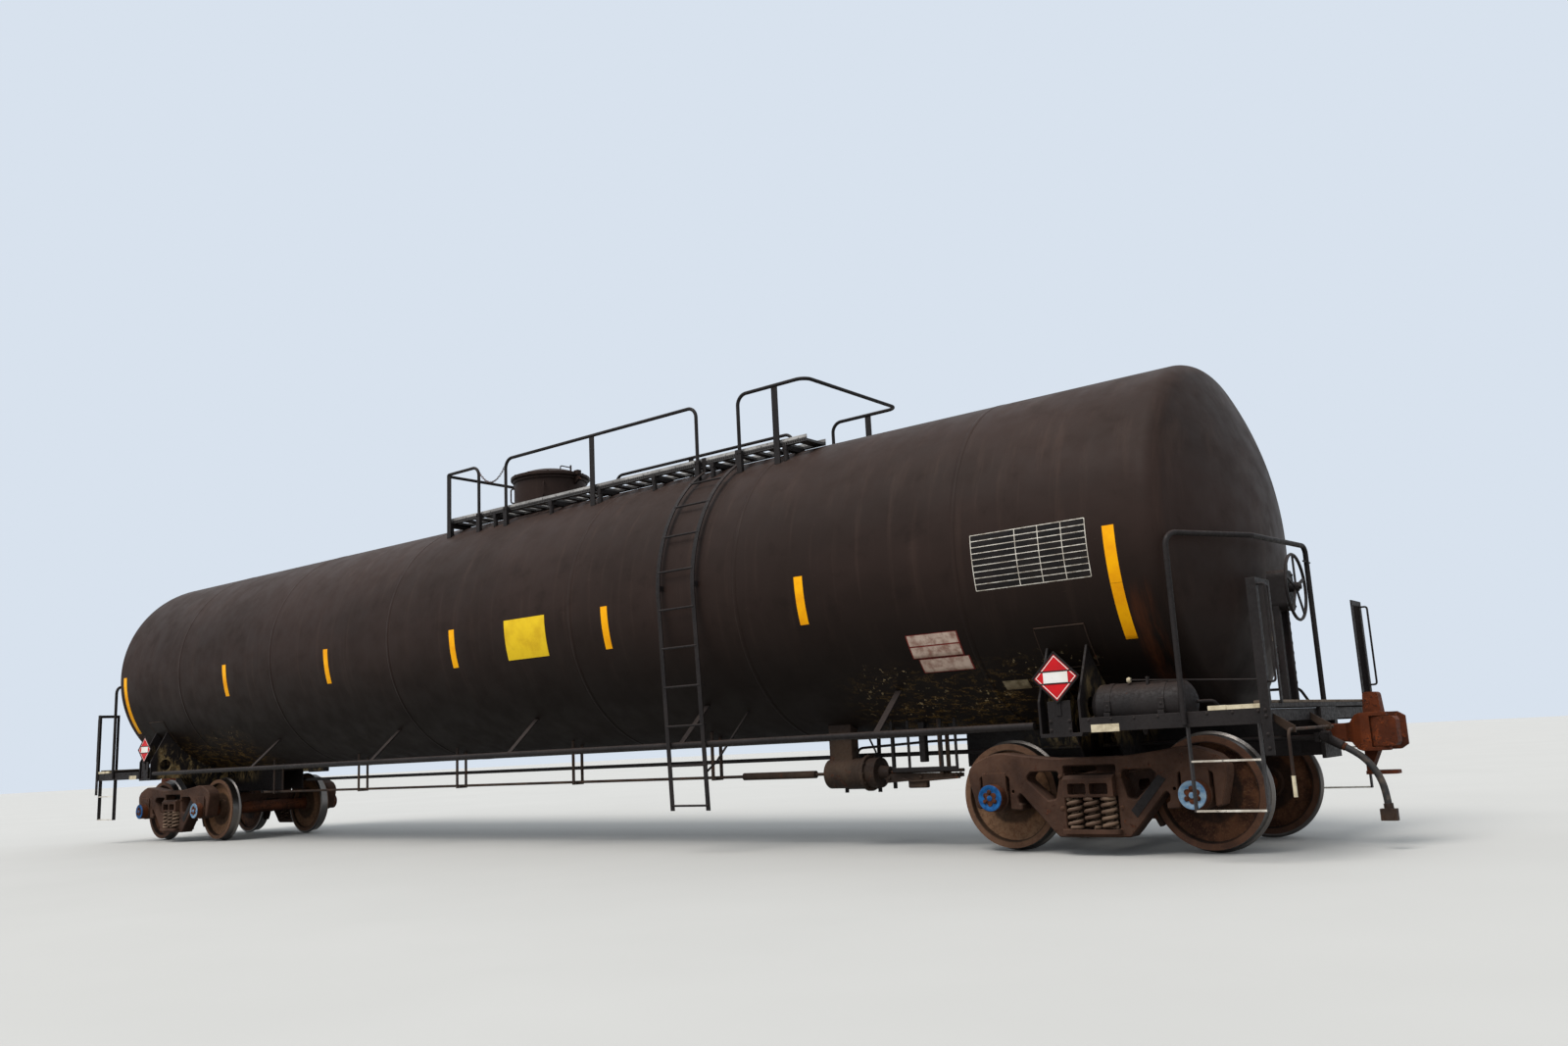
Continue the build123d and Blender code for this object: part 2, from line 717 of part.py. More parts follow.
with BuildPart() as brake_cylinder:
    with BuildSketch(end_plane(cylinder_x[0], cylinder_y, cylinder_z)):
        Circle(cylinder_r)
    extrude(amount=cylinder_x[1] - cylinder_x[0])
    with BuildSketch(end_plane(cylinder_x[1] - 150, cylinder_y, cylinder_z)):
        Circle(cylinder_r + 30)
    extrude(amount=35)
    with BuildSketch(end_plane(cylinder_x[1], cylinder_y, cylinder_z)):
        Circle(70)
    extrude(amount=110, taper=8)
    box((cylinder_x[0] + 30, cylinder_x[0] + 300), (cylinder_y - 60, cylinder_y + 60),
        (cylinder_z, skin_z(cylinder_y, top=False) + 60))
    add(barrel_gap, mode=Mode.SUBTRACT)
save(brake_cylinder.part, "brake_cylinder")

# Brake rods: one each way from the cylinder, in hangers under the tank
rod_r = 16.0
adjuster_r = 38.0
rod_x = (1903.0 - truck_x, truck_x - 1453.0)
HANGER_X = (-5500, -3300, -1100, 1100, 3300, 6150)
hanger_drop = 60.0
hanger_half = 75.0
hanger_bar = 12.0

with BuildPart() as brake_rods:
    for span in ((rod_x[0], cylinder_x[0]), (cylinder_x[1] + 110, rod_x[1])):
        with BuildSketch(end_plane(span[0], cylinder_y, cylinder_z)):
            Circle(rod_r)
        extrude(amount=span[1] - span[0])
    with BuildSketch(end_plane(cylinder_x[0] - 1150, cylinder_y, cylinder_z)):
        Circle(adjuster_r)
    extrude(amount=950)
    for x in HANGER_X:
        for y in (cylinder_y - hanger_half, cylinder_y + hanger_half - hanger_bar):
            box((x - 20, x + 20), (y, y + hanger_bar),
                (cylinder_z - rod_r - hanger_bar, skin_z(y, top=False) + 40))
        box((x - 20, x + 20), (cylinder_y - hanger_half, cylinder_y + hanger_half),
            (cylinder_z - rod_r - hanger_bar, cylinder_z - rod_r))
    add(barrel_gap, mode=Mode.SUBTRACT)
save(brake_rods.part, "brake_rods")

# Air reservoir and control valve on the side sills at end B
tank_air_length = 850.0
tank_air_x = (truck_x + 207.0, truck_x + 207.0 + tank_air_length)
tank_air_y = -1320.0
tank_air_z = rail + 1172.0
tank_air_r = 178.0
tank_air_dish = 90.0
strap_width = 44.0
AIR_STRAP_X = (tank_air_x[0] + 190.0, tank_air_x[1] - 220.0)

with BuildPart() as air_reservoir:
    with BuildSketch(side_plane(0, tank_air_y, tank_air_z)):
        with BuildLine():
            barrel = (tank_air_x[0] + tank_air_dish, tank_air_x[1] - tank_air_dish)
            middle = dish_middle(tank_air_r, tank_air_dish)
            Line((tank_air_x[0], 0), (tank_air_x[1], 0))
            ThreePointArc(
                (tank_air_x[1], 0), (barrel[1] + middle[1], middle[0]), (barrel[1], tank_air_r)
            )
            Line((barrel[1], tank_air_r), (barrel[0], tank_air_r))
            ThreePointArc(
                (barrel[0], tank_air_r), (barrel[0] - middle[1], middle[0]), (tank_air_x[0], 0)
            )
        make_face()
    revolve(axis=Axis((0, tank_air_y, tank_air_z), (1, 0, 0)))
    for x in AIR_STRAP_X:
        with BuildSketch(end_plane(x - strap_width / 2, tank_air_y, tank_air_z)):
            Circle(tank_air_r + 6)
        extrude(amount=strap_width)
    for x in AIR_STRAP_X:
        box((x - 25, x + 25), (-sill_y + channel_web + seat, tank_air_y),
            (channel_low + channel_web + seat, channel_low + channel_depth - channel_web - seat))
    for x in AIR_STRAP_X:
        box((x - 25, x + 25), (-sill_y + 20, tank_air_y),
            (channel_low + channel_depth + seat, channel_low + channel_depth + 30))
save(air_reservoir.part, "air_reservoir")

valve_x = (truck_x + 447.0, truck_x + 757.0)
valve_y = (1180.0, 1420.0)
valve_z = (rail + 1130.0, rail + 1440.0)
with BuildPart() as brake_valve:
    box(valve_x, valve_y, valve_z)
    for x in (valve_x[0] + 70, valve_x[1] - 70):
        with BuildSketch(side_plane(x, valve_y[1] + 90, (valve_z[0] + valve_z[1]) / 2)):
            Circle(60)
        extrude(amount=100)
    box((valve_x[0] + 40, valve_x[1] - 40), (valve_y[0] + 40, sill_y - 20),
        (channel_low + channel_depth + seat, valve_z[0]))
save(brake_valve.part, "brake_valve")

# Train pipe from end to end, with an angle cock at each end
train_end_x = sill_end_x + 30.0
cock_r = 46.0
cock_len = 150.0
cock_dip = 30.0
hose_exit = (
    train_end_x + cock_len * cos(radians(cock_dip)),
    train_z - cock_len * sin(radians(cock_dip)),
)

with BuildPart() as train_pipe:
    pipe(
        [(-train_end_x, -train_y, train_z), (train_cross_x[0], -train_y, train_z),
         (train_cross_x[1], train_y, train_z), (train_end_x, train_y, train_z)],
        train_r, 250,
    )
    for end, way in ENDS:
        with BuildSketch(end_plane(way * (train_end_x - 20), way * train_y, train_z)):
            Circle(cock_r)
        extrude(amount=way * 70)
        nozzle = Plane(
            origin=(way * train_end_x, way * train_y, train_z),
            z_dir=(way * cos(radians(cock_dip)), 0, -sin(radians(cock_dip))),
        )
        with BuildSketch(nozzle):
            Circle(cock_r * 0.8)
        extrude(amount=cock_len)
        box(sorted((way * (sill_end_x - 40), way * (sill_end_x - 10))),
            sorted((-way * striker_half_y, way * (train_y - 30))), (train_z - 35, train_z + 35))
save(train_pipe.part, "train_pipe")

# Air hoses: each hangs free from its angle cock and carries half a coupling
hose_r = 27.0
HOSE_TURNS = (30, 44, 59, 73, 86)
hose_run = 112.0


def hose_points(way):
    """Route of one hose, from the angle cock out and down, in its own upright plane."""
    x, z = hose_exit
    points = [(way * x, way * train_y, z)]
    for dip in HOSE_TURNS:
        x += hose_run * cos(radians(dip))
        z -= hose_run * sin(radians(dip))
        points.append((way * x, way * train_y, z))
    return points


for end, way in ENDS:
    points = hose_points(way)
    bends = [
        0.45 * hose_run / sin(radians(b - a) / 2) * cos(radians(b - a) / 2)
        for a, b in zip(HOSE_TURNS, HOSE_TURNS[1:])
    ]
    if way > 0:
        print("hose bend radii", [round(bend) for bend in bends])
    with BuildPart() as air_hose:
        pipe(points, hose_r, bends)
    save(air_hose.part, f"air_hose_{end}")
    with BuildPart() as hose_coupling:
        x, y, z = points[-1]
        last = radians(HOSE_TURNS[-1])
        down = Plane(origin=(x, y, z), z_dir=(way * cos(last), 0, -sin(last)))
        with BuildSketch(down):
            Circle(hose_r + 8)
        extrude(amount=45)
        box((x - 60, x + 60), (y - 32, y + 32), (z - 130, z - 40))
    save(hose_coupling.part, f"hose_coupling_{end}")

# Uncoupling levers: a rod along the end in two brackets, with a hanging handle
lever_r = 12.0
lever_x = sill_end_x + 90.0
lever_z = rail + 930.0
handle_low = rail + 450.0
lever_out_y = 1500.0
lever_in_y = 300.0
LEVER_BRACKET_Y = (1380.0, 420.0)
bracket_thick = 14.0
bracket_eye = 24.0

with BuildPart() as uncoupling_levers:
    for end, way in ENDS:
        hand = -way
        pipe(
            [(way * lever_x, hand * lever_out_y, handle_low), (way * lever_x, hand * lever_out_y, lever_z),
             (way * lever_x, hand * lever_in_y, lever_z)],
            lever_r, 60,
        )
        for y in LEVER_BRACKET_Y:
            with BuildSketch(side_plane(0, max(hand * y, hand * (y + bracket_thick)), 0)):
                with BuildLine():
                    Polyline(
                        (way * (beam_front + seat), channel_low + 70),
                        (way * (beam_front + seat), channel_low + 12),
                        (way * (lever_x - bracket_eye), lever_z - bracket_eye),
                        (way * (lever_x + bracket_eye), lever_z - bracket_eye),
                        (way * (lever_x + bracket_eye), lever_z + bracket_eye), close=True,
                    )
                make_face()
            extrude(amount=bracket_thick)
save(uncoupling_levers.part, "uncoupling_levers")

# Hazard boards: square plates on their corner, on bars, at both sides and both ends
board_frame = 300.0
board_z = rail + 1430.0
board_end = (half_shell + 625.0, -430.0, rail + 1485.0)

with BuildPart() as placards:
    for end, way in ENDS:
        for hand in (-1, 1):
            face = hand * (bolster_y + seat)
            box((way * truck_x - 20, way * truck_x + 20), sorted((face, face + hand * 8)),
                (cheek_z - 120, board_z))
            with Locations(Location((way * truck_x, face + hand * 12, board_z), (0, 45, 0))):
                Box(board_frame, 8, board_frame)
        with Locations(Location((way * board_end[0], board_end[1], board_end[2]), (45, 0, 0))):
            Box(8, board_frame, board_frame)
        box(sorted((way * (board_end[0] - 4), way * (board_end[0] - 20))),
            (board_end[1] - 20, board_end[1] + 20), (deck_z + 8, board_end[2] + 60))
save(placards.part, "placards")

# Truck side frames: cast frames with a jaw over each axle box, two windows and the spring opening
frame_y = (journal_y - 85.0, journal_y + 85.0)
frame_edge = 10.0
jaw_half = 140.0
jaw_roof = 632.0
jaw_low = 352.0
opening_half = 232.0
opening_top = rail + 705.0
seat_half = opening_half + 22.0
nest_low = rail + 190.0
nest_high = rail + 452.0
tip_hole_r = 15.0
guide_thick = 8.0
TOP_EDGE = (
    # along from the truck's middle, height above the rail, corner radius, out to the nose
    (0, 775, 0), (320, 775, 200), (half_base - 250, 812, 200), (half_base - 110, 834, 200),
    (half_base - 25, 834, 200), (half_base + 80, 805, 200), (half_base + 190, 760, 90),
    (half_base + 258, 690, 90), (half_base + 252, 600, 60), (half_base + 192, 375, 15),
)
JAW_EDGE = (
    (half_base + jaw_half, jaw_low, 16), (half_base + jaw_half, jaw_roof, 26),
    (half_base - jaw_half, jaw_roof, 26), (half_base - jaw_half, jaw_low, 16),
)
ARM_EDGE = (
    # the hooked inner leg of the jaw, then down the arm to the spring seat
    (half_base - 250, 345, 15), (half_base - 250, 392, 15), (half_base - 222, 410, 15),
    (half_base - 215, 455, 15), (half_base - 240, 490, 15), (half_base - 276, 455, 15),
    (365, 178, 60), (312, 124, 30), (0, 124, 0),
)
WINDOW = (
    (282, 664, 30), (half_base - 354, 664, 30), (half_base - 297, 612, 34), (388, 425, 26),
    (318, 437, 26), (276, 600, 60),
)


def rounded_face(sketch, points, way):
    """Add a face mirrored to one half of the truck, each corner rounded by its own radius."""
    with BuildLine() as edge:
        Polyline([(way * x, rail + z) for x, z, radius in points], close=True)
    make_face(edge.edges())
    for x, z, radius in points:
        if radius:
            fillet(sketch.vertices().sort_by_distance((way * x, rail + z))[0], radius)


with BuildPart() as side_frames:
    for hand in (-1, 1):
        with BuildSketch(side_plane(0, max(hand * frame_y[0], hand * frame_y[1]), 0)):
            for way in (-1, 1):
                with BuildSketch() as half_frame:
                    rounded_face(half_frame, TOP_EDGE + JAW_EDGE + ARM_EDGE, way)
                with BuildSketch(mode=Mode.SUBTRACT) as window:
                    rounded_face(window, WINDOW, way)
            with Locations((0, (nest_low + opening_top) / 2)):
                RectangleRounded(2 * opening_half, opening_top - nest_low, 16, mode=Mode.SUBTRACT)
        extrude(amount=frame_y[1] - frame_y[0])
        face = side_frames.faces().filter_by(
            lambda f: abs(f.center().Y - hand * frame_y[1]) < 1 and f.area > 100000
        )
        chamfer(face.edges(), frame_edge)
        with BuildSketch(side_plane(0, max(hand * frame_y[0], hand * frame_y[1]), 0)):
            with Locations(*[(way * (half_base - 175), rail + 505) for way in (-1, 1)]):
                Circle(tip_hole_r)
        extrude(amount=frame_y[1] - frame_y[0], mode=Mode.SUBTRACT)
        for way in (-1, 1):
            box(sorted((way * opening_half, way * (opening_half - guide_thick))),
                sorted((hand * (frame_y[0] - 8), hand * (frame_y[1] - frame_edge))),
                (nest_high + 8, opening_top - 60))
        with BuildSketch(Plane.XY.offset(nest_low - 34)):
            with Locations((0, hand * journal_y)):
                RectangleRounded(2 * seat_half, 326, 40)
        extrude(amount=34)

# Spring nests: two rows of three coils stand on each frame's seat and carry the bolster
spring_r = 68.0
spring_core_r = 50.0
spring_pitch = 150.0
spring_row = 82.0
spring_coils = 5
spring_step = (nest_high - nest_low) / spring_coils
NEST = [(x * spring_pitch, row * spring_row) for x in (-1, 0, 1) for row in (-1, 1)]

with BuildPart() as springs:
    for hand in (-1, 1):
        for x, y in NEST:
            with BuildSketch(side_plane(x, hand * journal_y + y, 0)):
                with BuildLine():
                    outline = [(0, nest_low), (spring_core_r, nest_low)]
                    for coil in range(spring_coils):
                        z = nest_low + coil * spring_step
                        outline += [(spring_r, z + spring_step / 2), (spring_core_r, z + spring_step)]
                    outline += [(0, nest_high)]
                    Polyline(outline, close=True)
                make_face()
            revolve(axis=Axis((x, hand * journal_y + y, 0), (0, 0, 1)))

# Truck bolster: a cored beam across the truck with the centre bowl, side bearings and end pockets
truck_bolster_x = opening_half - guide_thick - 4.0
bolster_end_y = journal_y + 147.0
bowl_r = 226.0
bowl_high = rail + 682.0
bowl_floor = plate_low - seat
pocket_half = 82.0
pocket_rib = 28.0
BOLSTER = (
    # y, z; half of the beam seen from the end
    (0, bowl_floor), (280, bowl_floor), (700, rail + 632), (bolster_end_y - 40, rail + 628),
    (bolster_end_y, rail + 600), (bolster_end_y, nest_high), (journal_y - 183, nest_high),
    (560, rail + 385), (0, rail + 385),
)

with BuildPart() as bolster:
    with BuildSketch(end_plane(-truck_bolster_x)) as outline:
        for hand in (-1, 1):
            with BuildLine():
                Polyline([(hand * y, z) for y, z in BOLSTER], close=True)
            make_face()
            with Locations((hand * 470, rail + 515)):
                SlotOverall(260, 96, mode=Mode.SUBTRACT)
        fillet(outline.vertices().filter_by(lambda v: 500 < abs(v.X) < bolster_end_y - 300), 60)
    extrude(amount=2 * truck_bolster_x)
    with BuildSketch(Plane.XY.offset(bowl_floor)):
        Circle(bowl_r)
        Circle(plate_r + 2, mode=Mode.SUBTRACT)
    extrude(amount=bowl_high - bowl_floor)
    with BuildSketch(Plane.XY.offset(plate_low - 100)):
        Circle(kingpin_r + pin_gap)
    extrude(amount=100, mode=Mode.SUBTRACT)
    for hand in (-1, 1):
        box((-110, 110), sorted((hand * (bearing_y - 50), hand * (bearing_y + 50))),
            (rail + 620, bearing_low - running))
        with BuildSketch(side_plane(0, hand * (bolster_end_y - 55) + 55, 0)):
            with Locations(*[(way * (pocket_half + pocket_rib / 2), rail + 518) for way in (-1, 1)]):
                RectangleRounded(2 * pocket_half, 92, 16)
        extrude(amount=110, mode=Mode.SUBTRACT)

# Bearings: a cup round each journal with its adapter up to the jaw roof
cup_r = 125.0
journal_r = 78.0
cup_y = (journal_y - 98.0, journal_y + 92.0)
adapter_half = jaw_half - 28.0
adapter_lip = 34.0

with BuildPart() as bearings:
    for x in (-half_base, half_base):
        for hand in (-1, 1):
            start = max(hand * cup_y[0], hand * cup_y[1])
            box((x - adapter_half, x + adapter_half), sorted((hand * cup_y[0], hand * cup_y[1])),
                (axle_z + 40, rail + jaw_roof))
            lip = (hand * (frame_y[1] + seat), hand * cup_y[1])
            box((x - adapter_half, x + adapter_half), sorted(lip),
                (rail + jaw_roof - 20, rail + jaw_roof + adapter_lip))
            with BuildSketch(side_plane(x, start, axle_z)):
                Circle(cup_r)
            extrude(amount=cup_y[1] - cup_y[0])
            with BuildSketch(side_plane(x, start, axle_z)):
                Circle(journal_r + pin_gap)
            extrude(amount=cup_y[1] - cup_y[0], mode=Mode.SUBTRACT)

# Brake beams between the wheels, with heads and shoes that hug the treads
beam_x = 335.0
beam_z = rail + 380.0
shoe_gap = 9.0
shoe_thick = 45.0
shoe_y = (wheel_gauge / 2 + 50.0, wheel_gauge / 2 + 134.0)
shoe_half_angle = 20.0

with BuildPart() as brake_beams:
    for way in (-1, 1):
        box((way * beam_x - 28, way * beam_x + 28), (-frame_y[0] + seat, frame_y[0] - seat),
            (beam_z - 32, beam_z + 32))
        for hand in (-1, 1):
            with BuildSketch(side_plane(way * half_base, max(hand * shoe_y[0], hand * shoe_y[1]), axle_z)):
                with BuildLine():
                    low = 180 + 12 - shoe_half_angle if way > 0 else -12 - shoe_half_angle
                    near = wheel_d / 2 + shoe_gap
                    for radius in (near, near + shoe_thick):
                        CenterArc((0, 0), radius, low, 2 * shoe_half_angle)
                    for angle in (low, low + 2 * shoe_half_angle):
                        turn = radians(angle)
                        Line((near * cos(turn), near * sin(turn)),
                             ((near + shoe_thick) * cos(turn), (near + shoe_thick) * sin(turn)))
                make_face()
            extrude(amount=shoe_y[1] - shoe_y[0])
            reach = half_base - (near + shoe_thick) + 25
            box(sorted((way * beam_x, way * reach)), sorted((hand * shoe_y[0], hand * shoe_y[1])),
                (beam_z - 60, beam_z + 40))

for end, way in ENDS:
    place = Location((way * truck_x, 0, 0))
    save(side_frames.part.moved(place), f"side_frames_{end}")
    save(springs.part.moved(place), f"springs_{end}")
    save(bolster.part.moved(place), f"truck_bolster_{end}")
    save(bearings.part.moved(place), f"bearings_{end}")
    save(brake_beams.part.moved(place), f"brake_beams_{end}")

# Wheelsets: two wheels pressed on an axle, whose caps turn outside the bearings
axle_r = 88.0
seat_r = 105.0
back_y = wheel_gauge / 2
front_y = back_y + rim_width
hub_r = 140.0
rim_in_r = wheel_d / 2 - 62
cap_r = 115.0
cap_y = journal_y + 185.0
tread_r = wheel_d / 2
WHEEL = (
    # radius, distance out from the wheel's back face
    (seat_r + seat, -32), (hub_r, -32), (hub_r + 12, 10), (rim_in_r, 30), (rim_in_r - 4, 0),
    (tread_r + 6, 0), (tread_r + flange_height, 12), (tread_r + flange_height, 22),
    (tread_r + 3, 38), (tread_r, 60), (tread_r - 4, rim_width), (rim_in_r, rim_width),
    (rim_in_r, 88), (hub_r + 20, 62), (hub_r, 150), (seat_r + seat, 150),
)
AXLE = (
    # radius, place along the axle up to which it reaches from the middle
    (axle_r, back_y - 34), (seat_r, cup_y[0] - 5), (journal_r, cup_y[1] + 5), (cap_r, cap_y),
)

for end, way in ENDS:
    for number, x in ((1, -half_base), (2, half_base)):
        centre = way * truck_x + x
        with BuildPart() as wheels:
            for hand in (-1, 1):
                with BuildSketch(Plane(origin=(centre, 0, axle_z), x_dir=(0, 0, 1), z_dir=(1, 0, 0))):
                    with BuildLine():
                        Polyline([(r, -hand * (back_y + out)) for r, out in WHEEL], close=True)
                    make_face()
                revolve(axis=Axis((centre, 0, axle_z), (0, 1, 0)))
        save(wheels.part, f"wheels_{end}{number}")
        with BuildPart() as axle:
            with BuildSketch(Plane(origin=(centre, 0, axle_z), x_dir=(0, 0, 1), z_dir=(1, 0, 0))):
                with BuildLine():
                    outline = [(0, 0)]
                    reached = 0
                    for radius, stop in AXLE:
                        outline += [(radius, reached), (radius, stop)]
                        reached = stop
                    half = outline + [(0, cap_y)]
                    mirrored = [(r, -along) for r, along in reversed(half)]
                    Polyline(half[1:] + mirrored[:-1], close=True)
                make_face()
            revolve(axis=Axis((centre, 0, axle_z), (0, 1, 0)))
        save(axle.part, f"axle_{end}{number}")

# Couplers, made looking out along +X from the pivot and then turned to each end
shank_end = 760.0
head_z = 150.0
knuckle_z = 115.0
pin_x = 985.0
pin_y = -118.0
pin_r = 21.0
hub_knuckle = 68.0
tower_x = (872.0, 1012.0)
tower_half = 62.0
tower_top = 313.0
shelf_x = (850.0, 1080.0)
shelf_half = 100.0
shelf_low = -337.0
shelf_thick = 28.0
face_u = pull_face_x - pivot_x
HEAD = (
    # along, across; the knuckle side is -Y and the guard arm +Y
    (shank_end - 30, -shank_y), (800, -150), (870, -196), (pin_x, pin_y - 80),
    (pin_x + 78, pin_y - 40), (pin_x + 78, pin_y + 40), (930, -20), (930, 60), (1000, 130),
    (1090, 175), (1128, 200), (1128, 236), (1000, 232), (880, 196), (800, 140), (shank_end - 30, shank_y),
)
HEAD_SIDE = (
    # along, height; upper half of the head seen from the side
    (shank_end - 30, shank_z), (shank_end + 20, shank_z + 5), (shank_end + 70, head_z - 14),
    (shank_end + 110, head_z), (pin_x + 85, head_z), (1128, 112),
)
KNUCKLE = (
    (pin_x - 30, pin_y - 62), (pin_x + 75, pin_y - 66), (face_u - 8, pin_y - 20),
    (face_u, pin_y + 95), (face_u - 22, 36), (face_u - 72, 36), (face_u - 92, -12),
    (pin_x + 30, pin_y + 60), (pin_x - 30, pin_y + 62),
)
TOWER = (
    (tower_x[0], head_z - 20), (tower_x[0] + 14, tower_top), (tower_x[1] - 14, tower_top),
    (tower_x[1], head_z - 20),
)

with BuildPart() as head:
    with BuildSketch(Plane.XY.offset(-head_z)) as plan:
        with BuildLine():
            Polyline(HEAD, close=True)
        make_face()
        fillet(plan.vertices().filter_by(lambda v: v.X > shank_end + 20), 16)
    extrude(amount=2 * head_z)
    with BuildSketch(side_plane(0, 300, 0)):
        with BuildLine():
            Polyline(list(HEAD_SIDE) + [(x, -z) for x, z in reversed(HEAD_SIDE)], close=True)
        make_face()
    extrude(amount=600, mode=Mode.INTERSECT)

with BuildPart() as coupler:
    with BuildSketch(end_plane(-90)):
        RectangleRounded(2 * shank_y, 2 * shank_z, 14)
    extrude(amount=shank_end + 90)
    add(head.part)
    with BuildSketch(side_plane(0, tower_half, 0)) as tower:
        with BuildLine():
            Polyline(TOWER, close=True)
        make_face()
        fillet(tower.vertices().filter_by(lambda v: v.Y > head_z), 26)
    extrude(amount=2 * tower_half)
    gap_z = knuckle_z + running
    with BuildSketch(Plane.XY.offset(-gap_z)):
        with Locations((pin_x, pin_y)):
            Circle(hub_knuckle + running + 4)
        with BuildLine():
            Polyline((pin_x - 40, -240), (pin_x - 55, -20), (1000, 40), (1200, 40), (1200, -240),
                     close=True)
        make_face()
    extrude(amount=2 * gap_z, mode=Mode.SUBTRACT)
    for radius, high in ((pin_r, head_z), (pin_r + 12, head_z + 12)):
        with BuildSketch(Plane.XY.offset(-head_z if radius == pin_r else head_z)):
            with Locations((pin_x, pin_y)):
                Circle(radius)
        extrude(amount=2 * head_z if radius == pin_r else 12)
    with BuildSketch(side_plane(0, shelf_half - 30, 0)):
        with BuildLine():
            Polyline(
                (shelf_x[0], shelf_low), (shelf_x[0], 10 - head_z), (shelf_x[0] + 110, 10 - head_z),
                (shelf_x[0] + 45, shelf_low + 60), (shelf_x[0] + 45, shelf_low), close=True,
            )
        make_face()
    extrude(amount=2 * shelf_half - 60)
    with BuildSketch(Plane.XY.offset(shelf_low)) as shelf:
        with Locations((sum(shelf_x) / 2, 0)):
            Rectangle(shelf_x[1] - shelf_x[0], 2 * shelf_half)
        fillet(shelf.vertices().filter_by(lambda v: v.X > shelf_x[0] + 1), 55)
    extrude(amount=shelf_thick)
    with BuildSketch(Plane.XY.offset(-shank_z)):
        Circle(pivot_r + pin_gap)
    extrude(amount=2 * shank_z, mode=Mode.SUBTRACT)

with BuildPart() as knuckle:
    with BuildSketch(Plane.XY.offset(-knuckle_z)) as plan:
        with BuildLine():
            Polyline(KNUCKLE, close=True)
        make_face()
        fillet(plan.vertices().filter_by(lambda v: v.X > pin_x + 40), 14)
        with Locations((pin_x, pin_y)):
            Circle(hub_knuckle)
            Circle(pin_r + pin_gap, mode=Mode.SUBTRACT)
    extrude(amount=2 * knuckle_z)
    with BuildSketch(side_plane(0, 300, 0)) as nose:
        with BuildLine():
            Polyline(
                (pin_x - 200, -knuckle_z), (face_u - 30, -knuckle_z), (face_u, 34 - knuckle_z),
                (face_u, knuckle_z - 34), (face_u - 30, knuckle_z), (pin_x - 200, knuckle_z), close=True,
            )
        make_face()
    extrude(amount=600, mode=Mode.INTERSECT)

for end, way in ENDS:
    turn = 0 if way > 0 else 180
    place = Location((way * pivot_x, 0, coupler_z), (0, 0, turn))
    save(coupler.part.moved(place), f"coupler_{end}")
    save(knuckle.part.moved(place), f"knuckle_{end}")
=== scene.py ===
"""Looks of a railway tank car, in metres: X runs along the car, Z is up, Z = 0 is under the wheel flanges."""
import json
from math import cos, radians, sin, sqrt, tau

import bmesh
import bpy
from mathutils import Matrix, Vector


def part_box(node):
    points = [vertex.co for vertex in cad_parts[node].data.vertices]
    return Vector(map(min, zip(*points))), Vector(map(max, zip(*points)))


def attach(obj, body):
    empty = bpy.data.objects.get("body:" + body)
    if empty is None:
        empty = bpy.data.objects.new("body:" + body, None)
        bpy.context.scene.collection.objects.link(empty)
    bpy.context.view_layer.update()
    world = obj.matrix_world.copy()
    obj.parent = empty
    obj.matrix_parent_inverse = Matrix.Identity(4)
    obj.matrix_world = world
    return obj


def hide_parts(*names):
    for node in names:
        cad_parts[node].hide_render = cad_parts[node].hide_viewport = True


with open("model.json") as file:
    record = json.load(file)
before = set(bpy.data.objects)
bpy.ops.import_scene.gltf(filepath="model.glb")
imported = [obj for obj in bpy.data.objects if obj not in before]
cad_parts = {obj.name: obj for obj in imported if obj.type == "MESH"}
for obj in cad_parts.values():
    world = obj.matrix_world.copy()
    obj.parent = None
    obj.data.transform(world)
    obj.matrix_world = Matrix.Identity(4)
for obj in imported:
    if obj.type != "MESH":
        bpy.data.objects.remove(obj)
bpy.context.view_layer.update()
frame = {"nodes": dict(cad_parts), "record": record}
nodes = frame["nodes"]

# Main sizes of the car, as in the CAD model
RAIL = 0.0254
TANK_R = 1.581
TANK_Z = RAIL + 2.596
SILL_END = 9.470
SILL_Y = 1.548
STEP_X = (8.830, 9.377)
TRUCK_X = 7.803
HALF_BASE = 0.889
AXLE_Z = RAIL + 0.4572
WHEEL_R = 0.4572
JOURNAL_Y = 1.0033
HOUSING_TOP = RAIL + 4.620
DECK_LOW, DECK_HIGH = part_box("walkways")
UP = Vector((0, 0, 1))
ENDS = (("a", -1), ("b", 1))
SIGNS = (-1, 1)


def srgb(red, green, blue):
    """A colour of 0 to 255 as shader values."""
    def linear(value):
        value /= 255
        return value / 12.92 if value <= 0.04045 else ((value + 0.055) / 1.055) ** 2.4
    return (linear(red), linear(green), linear(blue), 1.0)


# Colours
TANK_DARK = srgb(37, 27, 23)
TANK_LIGHT = srgb(47, 35, 31)
TANK_DUST = srgb(78, 61, 53)
MUD = srgb(126, 100, 58)
MUD_PALE = srgb(168, 146, 104)
# Dark mud and grime colour, also used as painted shade on faces that point down
MUD_DARK_AND_SHADE = srgb(17, 12, 9)
CHIP = srgb(176, 156, 118)
BLACK = srgb(21, 17, 17)
BLACK_WORN = srgb(34, 29, 28)
RUST = srgb(104, 56, 30)
RUST_DARK = srgb(48, 26, 17)
RUST_BRIGHT = srgb(124, 56, 18)
CAST = srgb(50, 32, 23)
CAST_LIGHT = srgb(80, 56, 43)
GREASE = srgb(22, 18, 16)
YELLOW = srgb(255, 180, 2)
YELLOW_PALE = srgb(234, 196, 34)
WHITE = srgb(222, 216, 204)
WHITE_DIRTY = srgb(160, 150, 136)
CREAM = srgb(206, 194, 166)
RED = srgb(200, 28, 34)
BLUE = srgb(28, 90, 146)
